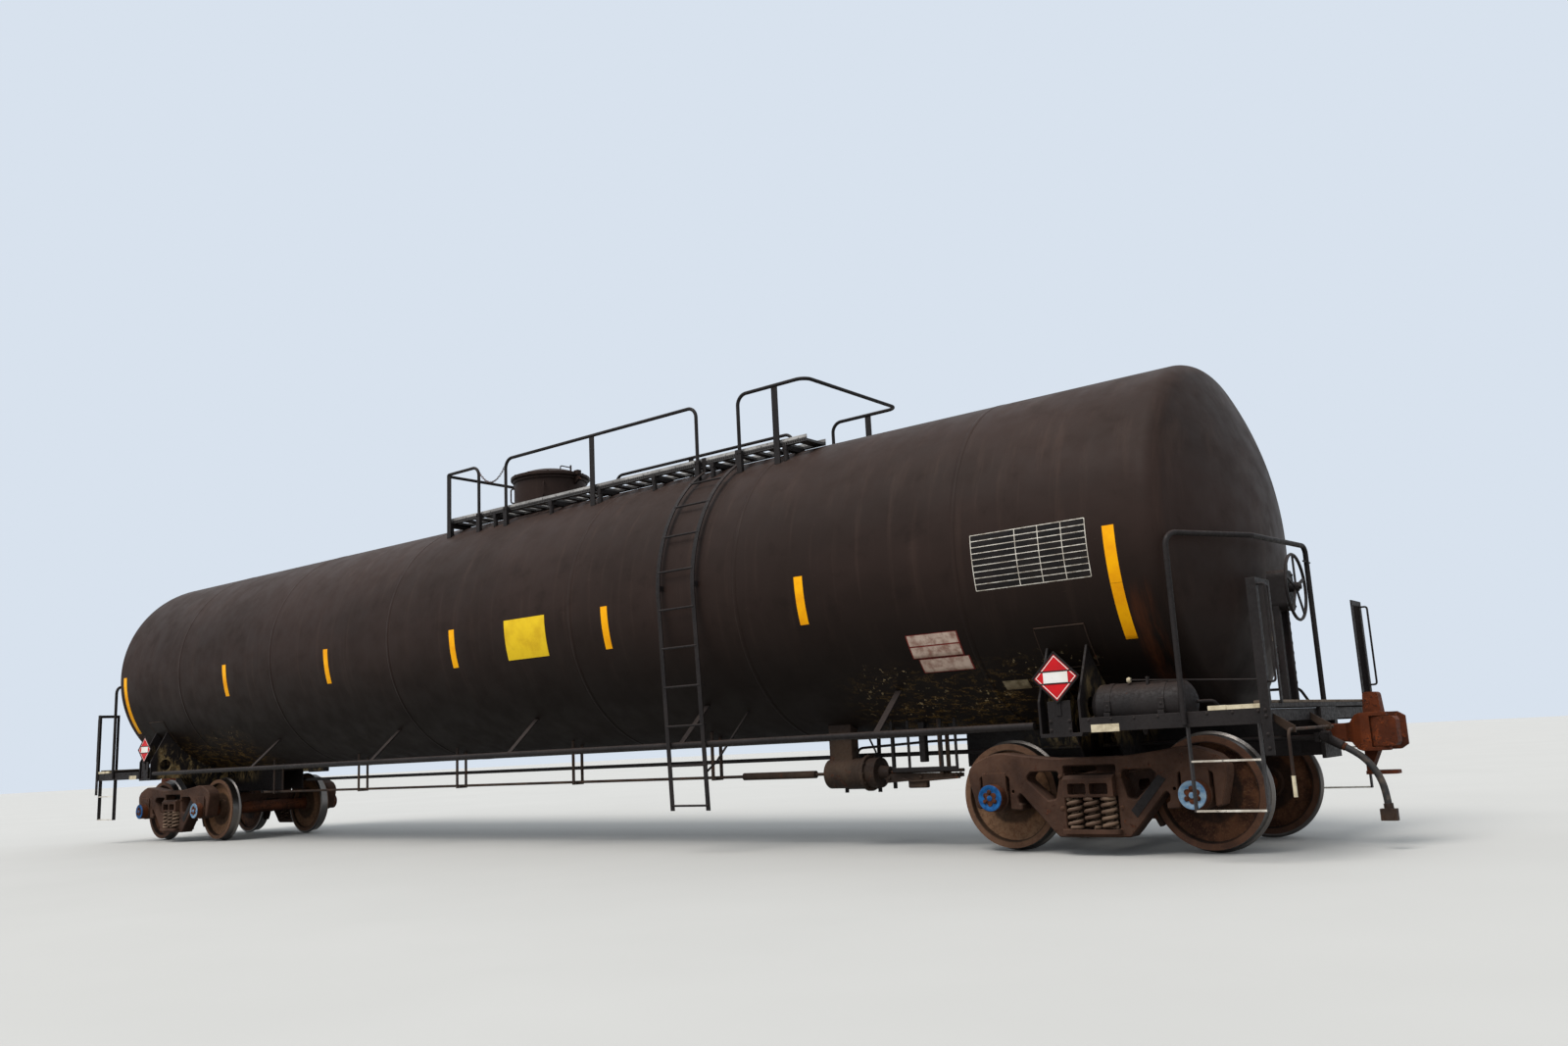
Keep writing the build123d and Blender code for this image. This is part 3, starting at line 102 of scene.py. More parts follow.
BLUE_PALE = srgb(134, 156, 172)
GREY = srgb(118, 115, 113)
GREY_LIGHT = srgb(170, 167, 163)

LOOKS = {}  # materials by name

# Where dirt lies: distances along the car from its middle, and heights
WEB_SPLASH_X = 7.45
WEB_SPLASH_Z = (0.98, 1.42)
MUD_X = 6.7
MUD_REACH = (0.7, 1.5)
MUD_Z = (RAIL + 1.15, RAIL + 1.75)
CHIP_Z = (1.25, 1.60)
STAIN_X = (8.50, 8.60)
STAIN_Z = (RAIL + 1.45, RAIL + 1.95)


class Tree:
    """The shader tree of a material or the world, with short names for the nodes that it needs."""

    def __init__(self, owner):
        owner.use_nodes = True
        self.tree = owner.node_tree
        self.tree.nodes.clear()

    def node(self, kind, inputs=(), **settings):
        """A node with its settings, and its inputs by name or number."""
        made = self.tree.nodes.new(kind)
        for key, value in settings.items():
            setattr(made, key, value)
        for key, value in dict(inputs).items():
            self.feed(made.inputs[key], value)
        return made

    def feed(self, socket, value):
        if isinstance(value, bpy.types.NodeSocket):
            self.tree.links.new(value, socket)
        else:
            socket.default_value = value


class Look(Tree):
    """A procedural material, kept in LOOKS; its places are in metres, in the frame's axes."""

    def __init__(self, name):
        LOOKS[name] = bpy.data.materials.new(name)
        super().__init__(LOOKS[name])
        self.shader = self.node("ShaderNodeBsdfPrincipled")
        self.node("ShaderNodeOutputMaterial", {0: self.shader.outputs[0]})
        self.place = self.node("ShaderNodeTexCoord").outputs["Object"]
        self.x, self.y, self.z = self.node("ShaderNodeSeparateXYZ", {0: self.place}).outputs

    def math(self, operation, a, b=0.0):
        return self.node("ShaderNodeMath", {0: a, 1: b}, operation=operation).outputs[0]

    def times(self, a, b):
        return self.math("MULTIPLY", a, b)

    def size(self, value):
        """A value without its sign."""
        return self.math("ABSOLUTE", value)

    def off(self, value, middle):
        """How far a value is from a middle."""
        return self.size(self.math("SUBTRACT", value, middle))

    def noise(self, scale, detail=4.0, rough=0.55, stretch=None, warp=0.0):
        """Noise from 0 to 1; stretch holds the pattern's scale along X, Y and Z."""
        source = self.place
        if stretch:
            source = self.node("ShaderNodeMapping", {"Vector": source, "Scale": stretch}).outputs[0]
        return self.node("ShaderNodeTexNoise", {
            "Vector": source, "Scale": scale, "Detail": detail, "Roughness": rough, "Distortion": warp,
        }).outputs["Fac"]

    def ramp(self, value, low, high, start=0.0, stop=1.0):
        """Smooth step from start to stop as the value goes from low to high."""
        return self.node("ShaderNodeMapRange", {
            "Value": value, "From Min": low, "From Max": high, "To Min": start, "To Max": stop,
        }, interpolation_type="SMOOTHSTEP").outputs[0]

    def band(self, value, low, high, soft):
        """One between low and high, falling to nothing over a soft edge."""
        return self.times(self.ramp(value, low - soft, low), self.ramp(value, high, high + soft, 1.0, 0.0))

    def mix(self, factor, a, b):
        return self.node("ShaderNodeMix", {0: factor, 6: a, 7: b}, data_type="RGBA").outputs[2]

    def layers(self, colour, *rows):
        """A colour under others, laid over it in turn, each by its share."""
        for share, layer in rows:
            colour = self.mix(share, colour, layer)
        return colour

    def upward(self):
        """Height part of the surface's normal."""
        normal = self.node("ShaderNodeNewGeometry").outputs["Normal"]
        return self.node("ShaderNodeSeparateXYZ", {0: normal}).outputs[2]

    def corners(self, reach):
        """The normal with corners rounded by a reach, and how close a point is to a corner, from 0 to 1."""
        rounded = self.node("ShaderNodeBevel", {"Radius": reach}, samples=4).outputs[0]
        true_normal = self.node("ShaderNodeNewGeometry").outputs["True Normal"]
        facing = self.node("ShaderNodeVectorMath", {0: rounded, 1: true_normal}, operation="DOT_PRODUCT")
        return rounded, self.ramp(facing.outputs["Value"], 0.75, 0.985, 1.0, 0.0)

    def bump(self, height, distance, strength=1.0, under=None):
        inputs = {"Distance": distance, "Strength": strength, "Height": height}
        if under:
            inputs["Normal"] = under
        return self.node("ShaderNodeBump", inputs).outputs[0]

    def finish(self, colour, rough, normal=None, metal=0.0, specular=0.5):
        inputs = {"Base Color": colour, "Roughness": rough, "Metallic": metal, "Specular IOR Level": specular}
        if normal:
            inputs["Normal"] = normal
        for key, value in inputs.items():
            self.feed(self.shader.inputs[key], value)


def splashes(look, share):
    """Dried mud on the webs over each truck's inner wheel, behind the face of the side sill."""
    place = look.times(look.ramp(look.off(look.size(look.x), WEB_SPLASH_X), 0.25, 0.75, 1.0, 0.0),
                       look.band(look.z, *WEB_SPLASH_Z, 0.14))
    place = look.times(place, look.ramp(look.size(look.y), 1.36, 1.46, share, 0.0))
    spray = look.noise(9.0, 8.0, 0.7, stretch=(1.0, 1.0, 0.5), warp=0.7)
    return look.times(place, look.ramp(spray, 0.44, 0.6))


def weathered(name, base, worn, rust=RUST, rust_share=0.25, dust=0.25, dust_colour=TANK_DUST,
              rough=(0.5, 0.8), grain=0.0006, edge_share=0.55, edge_colour=None, splash=0.0):
    """Old paint or casting: clouded colour, rust patches, worn edges, dust on top faces, painted shade on
    faces that point down, and a fine grain.
    """
    look = Look(name)
    clouds = look.noise(2.2, 6.0, 0.6)
    fine = look.noise(38, 5.0, 0.65)
    spots = look.math("ADD", look.times(look.noise(7, 8.0, 0.7, warp=0.4), 0.75), look.times(fine, 0.25))
    edge = 0.66 - 0.32 * rust_share
    rusty = look.ramp(spots, edge, edge + 0.07)
    rounded, corner = look.corners(0.007)
    rubbed = look.times(corner, look.ramp(spots, 0.38, 0.56, 0.15, edge_share))
    top = look.ramp(look.upward(), 0.35, 0.95, 0.0, dust)
    settled = look.times(top, look.ramp(look.noise(11, 5.0), 0.3, 0.65, 0.45, 1.0))
    colour = look.layers(
        look.mix(look.ramp(clouds, 0.35, 0.68), base, worn),
        (rusty, look.mix(look.ramp(fine, 0.4, 0.62), rust, RUST_DARK)),
        (rubbed, edge_colour or worn),
        (settled, dust_colour),
        # Painted shade: faces that point down are darkened towards the dark mud colour.
        (look.ramp(look.upward(), -0.9, -0.2, 0.45, 0.0), MUD_DARK_AND_SHADE))
    if splash:
        dried = look.mix(look.ramp(fine, 0.38, 0.6), MUD, MUD_PALE)
        colour = look.mix(splashes(look, splash), colour, dried)
    roughness = look.math("MAXIMUM", look.ramp(fine, 0.3, 0.7, *rough), look.times(rusty, 0.85))
    normal = look.bump(look.times(rusty, spots), grain * 2.5, under=rounded)
    look.finish(colour, roughness, look.bump(fine, grain, under=normal), specular=0.2)


def tank_paint():
    """Dusty satin black jacket: clouds, rain streaks, scuffs, mud thrown up by each truck, and painted shade
    on the faces that point down.
    """
    look = Look("tank_paint")
    clouds = look.noise(0.5, 5.0, 0.6, stretch=(1.0, 1.0, 1.6))
    fine = look.noise(55, 4.0, 0.6)
    streaks = look.noise(1.0, 6.0, 0.65, stretch=(8.0, 2.0, 0.3))
    blotch = look.noise(3.6, 6.0, 0.6)
    scuffs = look.noise(9.0, 8.0, 0.7, stretch=(0.5, 1.0, 2.2), warp=0.6)
    near_truck = look.ramp(look.off(look.size(look.x), MUD_X), *MUD_REACH, 1.0, 0.0)
    spray = look.noise(9, 7.0, 0.7, stretch=(0.7, 1.0, 2.2), warp=0.8)
    mud = look.times(look.times(near_truck, look.ramp(look.z, *MUD_Z, 1.0, 0.0)), look.ramp(spray, 0.49, 0.6))
    chips = look.times(look.ramp(look.noise(20, 3.0, 0.6), 0.63, 0.66),
                       look.ramp(look.noise(1.6, 3.0, 0.5), 0.48, 0.6))
    chips = look.times(chips, look.times(near_truck, look.band(look.z, *CHIP_Z, 0.15)))
    stain = look.times(look.band(look.size(look.x), *STAIN_X, 0.09), look.band(look.z, *STAIN_Z, 0.25))
    colour = look.layers(
        look.mix(look.ramp(clouds, 0.3, 0.7), TANK_DARK, TANK_LIGHT),
        (look.ramp(streaks, 0.5, 0.74, 0.0, 0.22), TANK_DUST),
        (look.ramp(blotch, 0.56, 0.74, 0.0, 0.3), MUD_DARK_AND_SHADE),
        (look.ramp(scuffs, 0.66, 0.72, 0.0, 0.3), TANK_DUST),
        (look.ramp(look.upward(), 0.2, 1.0, 0.0, 0.16), TANK_DUST),
        # Painted shade: faces that point down are darkened towards the dark mud colour.
        (look.ramp(look.upward(), -0.75, 0.1, 0.9, 0.0), MUD_DARK_AND_SHADE),
        (mud, look.mix(look.ramp(fine, 0.35, 0.65), MUD, MUD_DARK_AND_SHADE)),
        (look.times(chips, 0.8), CHIP),
        (look.times(stain, look.ramp(streaks, 0.35, 0.65, 0.0, 0.4)), RUST))
    dents = look.bump(look.noise(1.2, 3.0, 0.5), 0.016, 0.4)
    normal = look.bump(fine, 0.0003, under=look.bump(blotch, 0.002, 0.5, dents))
    roughness = look.math("MAXIMUM", look.ramp(blotch, 0.3, 0.7, 0.5, 0.64), look.times(mud, 0.9))
    look.finish(colour, roughness, normal, specular=0.08)


def wheel_steel():
    """Rusty wheel with a bright tread and flange; the distance from the nearest axle sets the zones."""
    look = Look("wheel_steel")
    along = look.math("SUBTRACT", look.off(look.size(look.x), TRUCK_X), HALF_BASE)
    rise = look.math("SUBTRACT", look.z, AXLE_Z)
    radius = look.math("SQRT", look.math("ADD", look.times(along, along), look.times(rise, rise)))
    coarse = look.noise(5, 6.0, 0.65)
    fine = look.noise(70, 5.0, 0.7)
    inner = look.ramp(look.size(look.x), TRUCK_X - 0.3, TRUCK_X + 0.3, 0.62, 0.0)
    dusty = look.times(inner, look.ramp(look.noise(22, 7.0, 0.7, warp=0.5), 0.32, 0.62, 0.35, 1.0))
    oily = look.band(look.math("ADD", radius, look.times(coarse, 0.08)), 0.14, 0.27, 0.04)
    groove = look.band(radius, WHEEL_R - 0.066, WHEEL_R - 0.056, 0.006)
    rim = look.ramp(radius, WHEEL_R - 0.055, WHEEL_R - 0.05)
    tread = look.times(look.ramp(radius, WHEEL_R - 0.0065, WHEEL_R - 0.0045),
                       look.ramp(look.size(look.y), 0.799, 0.815, 1.0, 0.0))
    bright = look.times(tread, look.ramp(fine, 0.2, 0.5, 0.75, 1.0))
    colour = look.layers(
        look.mix(look.ramp(coarse, 0.38, 0.6), RUST_DARK, srgb(94, 60, 40)),
        (look.ramp(fine, 0.5, 0.75, 0.0, 0.6), srgb(132, 100, 72)),
        (dusty, srgb(146, 112, 84)),
        (look.times(oily, 0.7), GREASE),
        (look.times(groove, 0.75), GREASE),
        (look.times(rim, 0.6), srgb(84, 60, 48)),
        (bright, srgb(104, 100, 97)))
    roughness = look.mix(bright, (0.85, 0.85, 0.85, 1), (0.34, 0.34, 0.34, 1))
    normal = look.bump(fine, 0.0008, under=look.bump(coarse, 0.002))
    look.finish(colour, roughness, normal, metal=bright, specular=0.2)


def walkway_steel():
    """Galvanized deck: a pale top edge, dark below it, and raised buttons over the treads."""
    look = Look("walkway_steel")
    fine = look.noise(30, 6.0, 0.65)
    clouds = look.noise(2.5, 5.0, 0.6)
    colour = look.layers(
        look.mix(look.ramp(clouds, 0.35, 0.65), GREY, GREY_LIGHT),
        (look.ramp(fine, 0.56, 0.7, 0.0, 0.6), BLACK_WORN),
        (look.ramp(look.z, DECK_LOW.z + 0.036, DECK_LOW.z + 0.042, 0.85, 0.0), BLACK))
    waves = [look.math("SINE", look.times(place, tau / 0.025)) for place in (look.x, look.y)]
    buttons = look.ramp(look.times(*waves), 0.45, 0.85)
    normal = look.bump(fine, 0.0004, under=look.bump(buttons, 0.002))
    look.finish(colour, look.ramp(fine, 0.3, 0.7, 0.5, 0.75), normal, metal=0.2, specular=0.4)


def step_paint():
    """Sill steps: worn white treads between black legs."""
    look = Look("step_white")
    chips = look.noise(26, 7.0, 0.7)
    grime = look.noise(5, 5.0, 0.6)
    white = look.mix(look.ramp(grime, 0.35, 0.65), WHITE, WHITE_DIRTY)
    white = look.mix(look.ramp(chips, 0.58, 0.66, 0.0, 0.9), white, BLACK_WORN)
    across = look.size(look.x)
    inside = look.times(look.ramp(across, STEP_X[0] + 0.0145, STEP_X[0] + 0.0165),
                        look.ramp(across, STEP_X[1] - 0.0165, STEP_X[1] - 0.0145, 1.0, 0.0))
    rounded, corner = look.corners(0.004)
    colour = look.layers(look.mix(look.ramp(grime, 0.4, 0.6), BLACK, BLACK_WORN),
                         (inside, white), (look.times(corner, 0.35), RUST_DARK))
    look.finish(colour, look.ramp(chips, 0.3, 0.7, 0.5, 0.8), look.bump(chips, 0.0006, under=rounded))


def rubber():
    """Dusty black hose with a fine rough skin."""
    look = Look("hose_rubber")
    dusty = look.noise(14, 6.0, 0.65)
    skin = look.bump(look.noise(90, 3.0, 0.6), 0.0008)
    colour = look.mix(look.ramp(dusty, 0.45, 0.7), srgb(24, 22, 22), srgb(74, 64, 56))
    look.finish(colour, look.ramp(dusty, 0.3, 0.7, 0.62, 0.85), skin)


def plain(name, base, worn, rough, scratch, size):
    """Coloured sheet or paint with faded clouds, grime specks and a little grain."""
    look = Look(name)
    clouds = look.noise(5 * size, 5.0, 0.6)
    specks = look.noise(60 * size, 6.0, 0.7)
    colour = look.layers(look.mix(look.ramp(clouds, 0.35, 0.7), base, worn),
                         (look.ramp(specks, 0.62, 0.72, 0.0, scratch), MUD_DARK_AND_SHADE))
    roughness = look.ramp(clouds, 0.3, 0.7, rough - 0.08, rough + 0.1)
    look.finish(colour, roughness, look.bump(specks, 0.0003), specular=0.12)


# Small sheets and paints: base and worn colour, roughness, share of grime specks, fineness
PLAIN = (
    ("yellow_sheeting", YELLOW, srgb(240, 158, 4), 0.5, 0.2, 1.0),
    ("yellow_plate", YELLOW_PALE, srgb(214, 172, 30), 0.55, 0.4, 1.0),
    ("white_line", WHITE, WHITE_DIRTY, 0.7, 0.5, 3.0),
    ("red_sheet", RED, srgb(172, 28, 34), 0.4, 0.3, 1.0),
    ("white_sheet", srgb(228, 226, 222), WHITE, 0.5, 0.3, 1.0),
    ("worn_white", srgb(214, 192, 176), srgb(158, 122, 108), 0.75, 0.8, 2.5),
    ("dull_plate", srgb(150, 138, 112), srgb(104, 92, 70), 0.7, 0.8, 3.0),
    ("worn_red", srgb(132, 52, 48), srgb(92, 42, 38), 0.7, 0.8, 3.0),
    ("blue_cap", BLUE, srgb(16, 58, 104), 0.5, 0.6, 4.0),
    ("pale_cap", BLUE_PALE, srgb(70, 112, 150), 0.55, 0.6, 4.0),
    ("cream_paint", CREAM, srgb(164, 150, 124), 0.6, 0.6, 3.0),
    ("orange_cap", srgb(196, 88, 30), srgb(150, 66, 28), 0.6, 0.4, 4.0),
    ("worn_plank", srgb(112, 98, 84), srgb(84, 72, 62), 0.8, 0.6, 3.0),
    ("fresh_black", srgb(20, 17, 17), srgb(30, 25, 24), 0.45, 0.2, 1.0),
)
tank_paint()
weathered("frame_paint", BLACK, BLACK_WORN, rust_share=0.1, dust=0.3, edge_share=0.4,
          edge_colour=srgb(82, 70, 64), splash=0.9)
walkway_steel()
weathered("cast_rust", CAST, CAST_LIGHT, rust_share=0.28, dust=0.45, rough=(0.65, 0.9), grain=0.0014,
          edge_share=0.8, edge_colour=srgb(132, 92, 68))
wheel_steel()
weathered("axle_steel", RUST_DARK, RUST, rust_share=0.5, rough=(0.7, 0.9), grain=0.001)
weathered("coupler_rust", srgb(56, 23, 7), srgb(92, 40, 12), rust=RUST_BRIGHT, rust_share=0.45,
          rough=(0.7, 0.9), grain=0.0014, edge_share=0.7, edge_colour=srgb(126, 66, 28))
weathered("brake_grime", srgb(40, 30, 25), srgb(70, 54, 42), rust_share=0.35, dust=0.5, rough=(0.6, 0.9))
step_paint()
rubber()
weathered("board_frame", BLACK, BLACK_WORN, rust_share=0.05, dust=0.1)
weathered("spring_steel", srgb(78, 58, 46), srgb(134, 110, 90), rust_share=0.2, dust=0.6,
          dust_colour=srgb(150, 128, 108))
for row in PLAIN:
    plain(*row)

slot_of = {part["node"]: part["material_slot"] for part in frame["record"]["subparts"]}
for name, node in nodes.items():
    node.data.materials.clear()
    node.data.materials.append(LOOKS[slot_of[name]])


def added(name, data):
    """A new object in the scene."""
    made = bpy.data.objects.new(name, data)
    bpy.context.scene.collection.objects.link(made)
    return made


def between(rings, count, closed=False):
    """Faces from each ring of points to the next, and from the last to the first if closed."""
    pairs = [(ring, (ring + 1) % rings) for ring in range(rings if closed else rings - 1)]
    return [[a * count + k, a * count + (k + 1) % count, b * count + (k + 1) % count, b * count + k]
            for a, b in pairs for k in range(count)]


def caps(rings, count):
    """Faces over the first and the last ring."""
    return [list(range(count))[::-1], [(rings - 1) * count + k for k in range(count)]]


def circle(place, axis, radius, count, turn=0.0, along=0.0):
    """Points spaced evenly on a circle about an axis, some way along it."""
    spin = Vector(axis).normalized().to_track_quat("Z", "Y").to_matrix()
    angles = [tau * k / count + turn for k in range(count)]
    return [Vector(place) + spin @ Vector((radius * cos(angle), radius * sin(angle), along))
            for angle in angles]


def standing(rows, place, along):
    """Points of outlines that run along and up from a place, each outline standing out by its rise."""
    place, along = Vector(place), Vector(along)
    outward = along.cross(UP).normalized()
    return [place + along * u + UP * v + outward * rise for outline, rise in rows for u, v in outline]


class Shape:
    """Collects the points and faces of one joined mesh."""

    def __init__(self):
        self.points = []
        self.faces = []

    def add(self, points, faces):
        start = len(self.points)
        self.points += [tuple(p) for p in points]
        self.faces += [[start + i for i in face] for face in faces]

    def lathe(self, profile, at, axis, sides):
        """A closed round form: profile rows are radius and place along the axis, from end to end."""
        points = [p for radius, along in profile for p in circle(at, axis, radius, sides, along=along)]
        self.add(points, between(len(profile), sides) + caps(len(profile), sides))

    def bolts(self, places, axis, size, height):
        """Hexagon heads with a washer under each."""
        washer = height * 0.25
        for at in places:
            self.lathe([(size * 1.3, -0.002), (size * 1.3, washer)], at, axis, 12)
            self.lathe([(size, washer - 0.001), (size, height * 0.85), (size * 0.86, height)], at, axis, 6)

    def block(self, low, high, bevel):
        """A box between two corners, with its edges broken by a small bevel."""
        (x0, y0, z0), (x1, y1, z1) = low, high
        points = []
        for z, inset in ((z0, bevel), (z0 + bevel, 0), (z1 - bevel, 0), (z1, bevel)):
            left, right, front, back = x0 + inset, x1 - inset, y0 + inset, y1 - inset
            points += [(left + bevel, front, z), (right - bevel, front, z), (right, front + bevel, z),
                       (right, back - bevel, z), (right - bevel, back, z), (left + bevel, back, z),
                       (left, back - bevel, z), (left, front + bevel, z)]
        self.add(points, caps(4, 8) + between(4, 8))

    def tube(self, path, radius, sides=10, closed=False):
        """A round bar along close points."""
        path = [Vector(p) for p in path]
        count = len(path)
        points = []
        side = None
        for i, here in enumerate(path):
            before = path[i - 1] if i or closed else here
            after = path[(i + 1) % count] if i + 1 < count or closed else here
            way = (after - before).normalized()
            if side is None:
                side = way.orthogonal().normalized()
            side = (side - way * side.dot(way)).normalized()
            other = way.cross(side)
            for k in range(sides):
                angle = tau * k / sides
                points.append(here + radius * (side * cos(angle) + other * sin(angle)))
        self.add(points, between(count, sides, closed) + ([] if closed else caps(count, sides)))

    def plate(self, outline, place, along, thick):
        """A flat upright sheet that stands out from its place by its thickness."""
        count = len(outline)
        points = standing(((outline, 0.0), (outline, thick)), place, along)
        self.add(points, caps(2, count) + between(2, count))

    def rim(self, outer, inner, place, along, thick):
        """A flat upright ring between two outlines with as many corners each."""
        rows = ((outer, 0.0), (outer, thick), (inner, thick), (inner, 0.0))
        self.add(standing(rows, place, along), between(4, len(outer), closed=True))

    def chain(self, points, wire=0.0035):
        """Oval links between close points, every second one turned a quarter."""
        for k, (a, b) in enumerate(zip(points, points[1:])):
            way = b - a
            side = Vector((0, 1, 0)) if k % 2 else way.cross(Vector((0, 1, 0))).normalized()
            self.tube([(a + b) / 2 + way * 0.68 * cos(tau * s / 10) + side * wire * 3.2 * sin(tau * s / 10)
                       for s in range(10)], wire, 6, closed=True)

    def piece(self, name, look, slot=None, body="carbody", sharp=40):
        """Makes the mesh a named piece on a body, with its look; the slot argument is not used."""
        mesh = bpy.data.meshes.new(name)
        mesh.from_pydata(self.points, [], self.faces)
        mesh.validate()
        work = bmesh.new()
        work.from_mesh(mesh)
        bmesh.ops.recalc_face_normals(work, faces=work.faces)
        work.to_mesh(mesh)
        work.free()
        mesh.shade_smooth()
        mesh.set_sharp_from_angle(angle=radians(sharp))
        mesh.materials.append(LOOKS[look])
        made = added(name, mesh)
        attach(made, body)
        return made


def bent(points, reach, steps=5):
    """Close points of a rigid bar along straight stretches, with a round bend at each corner."""
    points = [Vector(p) for p in points]
    path = [points[0]]
    for before, corner, after in zip(points, points[1:], points[2:]):
        start = corner + (before - corner).normalized() * reach
        stop = corner + (after - corner).normalized() * reach
        for k in range(steps + 1):
            share = k / steps
            path.append(start.lerp(corner, share).lerp(corner.lerp(stop, share), share))
    return path + [points[-1]]


def diamond(reach):
    return [(0, -reach), (reach, 0), (0, reach), (-reach, 0)]


def oblong(half_width, half_height, rise=0.0):
    return [(-half_width, rise - half_height), (half_width, rise - half_height),
            (half_width, rise + half_height), (-half_width, rise + half_height)]


def mirrored(span, way):
    """A span, or its mirror image, from low to high."""
    return sorted((way * span[0], way * span[1]))


def skin_point(x, z, side, lift):
    """Point over the tank barrel at a height, on the side of that sign."""
    return (x, side * sqrt((TANK_R + lift) ** 2 - (z - TANK_Z) ** 2), z)


def skin_patch(shape, x_span, z_span, side, lift=0.0012, rows=None, thick=0.001):
    """A thin sheet that lies on the tank barrel between two lengths and two heights."""
    rows = rows or max(1, round(abs(z_span[1] - z_span[0]) / 0.03))
    heights = [z_span[0] + (z_span[1] - z_span[0]) * row / rows for row in range(rows + 1)]
    points = [skin_point(x, z, side, level)
              for level in (lift - thick, lift) for z in heights for x in x_span]
    faces = []
    top = 2 * (rows + 1)
    for a in range(0, 2 * rows, 2):
        faces += [[a, a + 1, a + 3, a + 2], [top + a, top + a + 2, top + a + 3, top + a + 1],
                  [a, a + 2, top + a + 2, top + a], [a + 1, top + a + 1, top + a + 3, a + 3]]
    faces += [[0, top, top + 1, 1], [top - 2, top - 1, 2 * top - 1, 2 * top - 2]]
    shape.add(points, faces)


# Yellow reflective stripes, a tall one in two parts at each end and short ones between them
STRIPE_HALF = 0.05
TALL_STRIPES = (-8.515, 8.38)
TALL_Z = ((RAIL + 1.70, RAIL + 2.139), (RAIL + 2.141, RAIL + 2.60))
SHORT_STRIPES = (-5.40, -2.75, -0.04, 2.60, 5.25)
SHORT_Z = ((RAIL + 2.113, RAIL + 2.57),)

stripes = Shape()
for side in SIGNS:
    for places, spans in ((TALL_STRIPES, TALL_Z), (SHORT_STRIPES, SHORT_Z)):
        for x in places:
            for span in spans:
                skin_patch(stripes, (-side * x - STRIPE_HALF, -side * x + STRIPE_HALF), span, side)
stripes.piece("reflective_stripes", "yellow_sheeting", "tank_paint", sharp=60)

# Blank data table of thin white lines, and the bare plates on the jacket
TABLE_X = (7.13, 8.185)
TABLE_Z = (RAIL + 2.215, RAIL + 2.69)
TABLE_COLUMNS = (0.0, 0.40, 0.60, 0.80, 1.0)
TABLE_ROWS = 9
HALF_LINE = 0.00325
LINE_LIFT = 0.0014
FIELD_LIFT = 0.0007
YELLOW_PLATE = ((0.94, 1.64), (RAIL + 2.12, RAIL + 2.58))
DULL_PLATE = ((7.075, 7.318), (1.405, 1.480))
WORN_SHEETS = (((6.310, 6.840), (1.728, 1.936), 2), ((6.360, 6.882), (1.600, 1.722), 1))  # spans, sheets
WORN_EDGE = 0.012
SHEET_LIFT = 0.0032
SHEET_THICK = 0.003

table, field = Shape(), Shape()
yellow_plate, worn_sheet, red_edge, dull_plate = Shape(), Shape(), Shape(), Shape()
for side in SIGNS:
    ends = mirrored(TABLE_X, -side)
    width, height = ends[1] - ends[0], TABLE_Z[1] - TABLE_Z[0]
    skin_patch(field, ends, TABLE_Z, side, FIELD_LIFT)
    for share in TABLE_COLUMNS:
        x = ends[0] + width * share
        skin_patch(table, (x - HALF_LINE, x + HALF_LINE), TABLE_Z, side)
    for row in range(TABLE_ROWS + 1):
        z = TABLE_Z[0] + height * row / TABLE_ROWS
        skin_patch(table, ends, (z - HALF_LINE, z + HALF_LINE), side, LINE_LIFT, rows=1)
    for shape, (x_span, z_span) in ((yellow_plate, YELLOW_PLATE), (dull_plate, DULL_PLATE)):
        skin_patch(shape, mirrored(x_span, -side), z_span, side, SHEET_LIFT, thick=SHEET_THICK)
    for (x_low, x_high), (z_low, z_high), count in WORN_SHEETS:
        skin_patch(red_edge, mirrored((x_low, x_high), -side), (z_low, z_high), side,
                   SHEET_LIFT, thick=SHEET_THICK)
        bars = [z_low + (z_high - z_low) * k / count for k in range(count + 1)]
        for low, high in zip(bars, bars[1:]):
            skin_patch(worn_sheet, mirrored((x_low + WORN_EDGE, x_high - WORN_EDGE), -side),
                       (low + WORN_EDGE / 2, high - WORN_EDGE / 2), side, SHEET_LIFT + 0.0008)
field.piece("data_table_field", "fresh_black", "tank_paint", sharp=60)
table.piece("data_table_lines", "white_line", "tank_paint")
worn_sheet.piece("worn_sheets", "worn_white", "tank_paint", sharp=60)
red_edge.piece("worn_sheet_edges", "worn_red", "tank_paint", sharp=60)
dull_plate.piece("dull_plates", "dull_plate", "tank_paint", sharp=60)
yellow_plate.piece("yellow_plates", "yellow_plate", "tank_paint", sharp=60)

# Air hoses: the same route points as the CAD tubes, drawn as smooth cords
HOSE_R = 0.027
HOSE_TURNS = (30, 44, 59, 73, 86)
HOSE_RUN = 0.112
HOSE_EXIT = (9.6299, 0.340, 0.8004)

for end, way in ENDS:
    x, y, z = HOSE_EXIT
    points = [(way * x, -way * y, z)]
    for dip in HOSE_TURNS:
        x += HOSE_RUN * cos(radians(dip))
        z -= HOSE_RUN * sin(radians(dip))
        points.append((way * x, -way * y, z))
    curve = bpy.data.curves.new(f"hose_{end}", "CURVE")
    curve.dimensions = "3D"
    spline = curve.splines.new("NURBS")
    spline.points.add(len(points) - 1)
    for point, place in zip(spline.points, points):
        point.co = (*place, 1)
    spline.order_u = 3
    spline.use_endpoint_u = True
    spline.resolution_u = 12
    curve.bevel_depth = HOSE_R
    curve.bevel_resolution = 5
    curve.use_fill_caps = True
    curve.materials.append(LOOKS["hose_rubber"])
    hose = added(f"hose_{end}", curve)
    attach(hose, "carbody")
    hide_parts(f"air_hose_{end}")

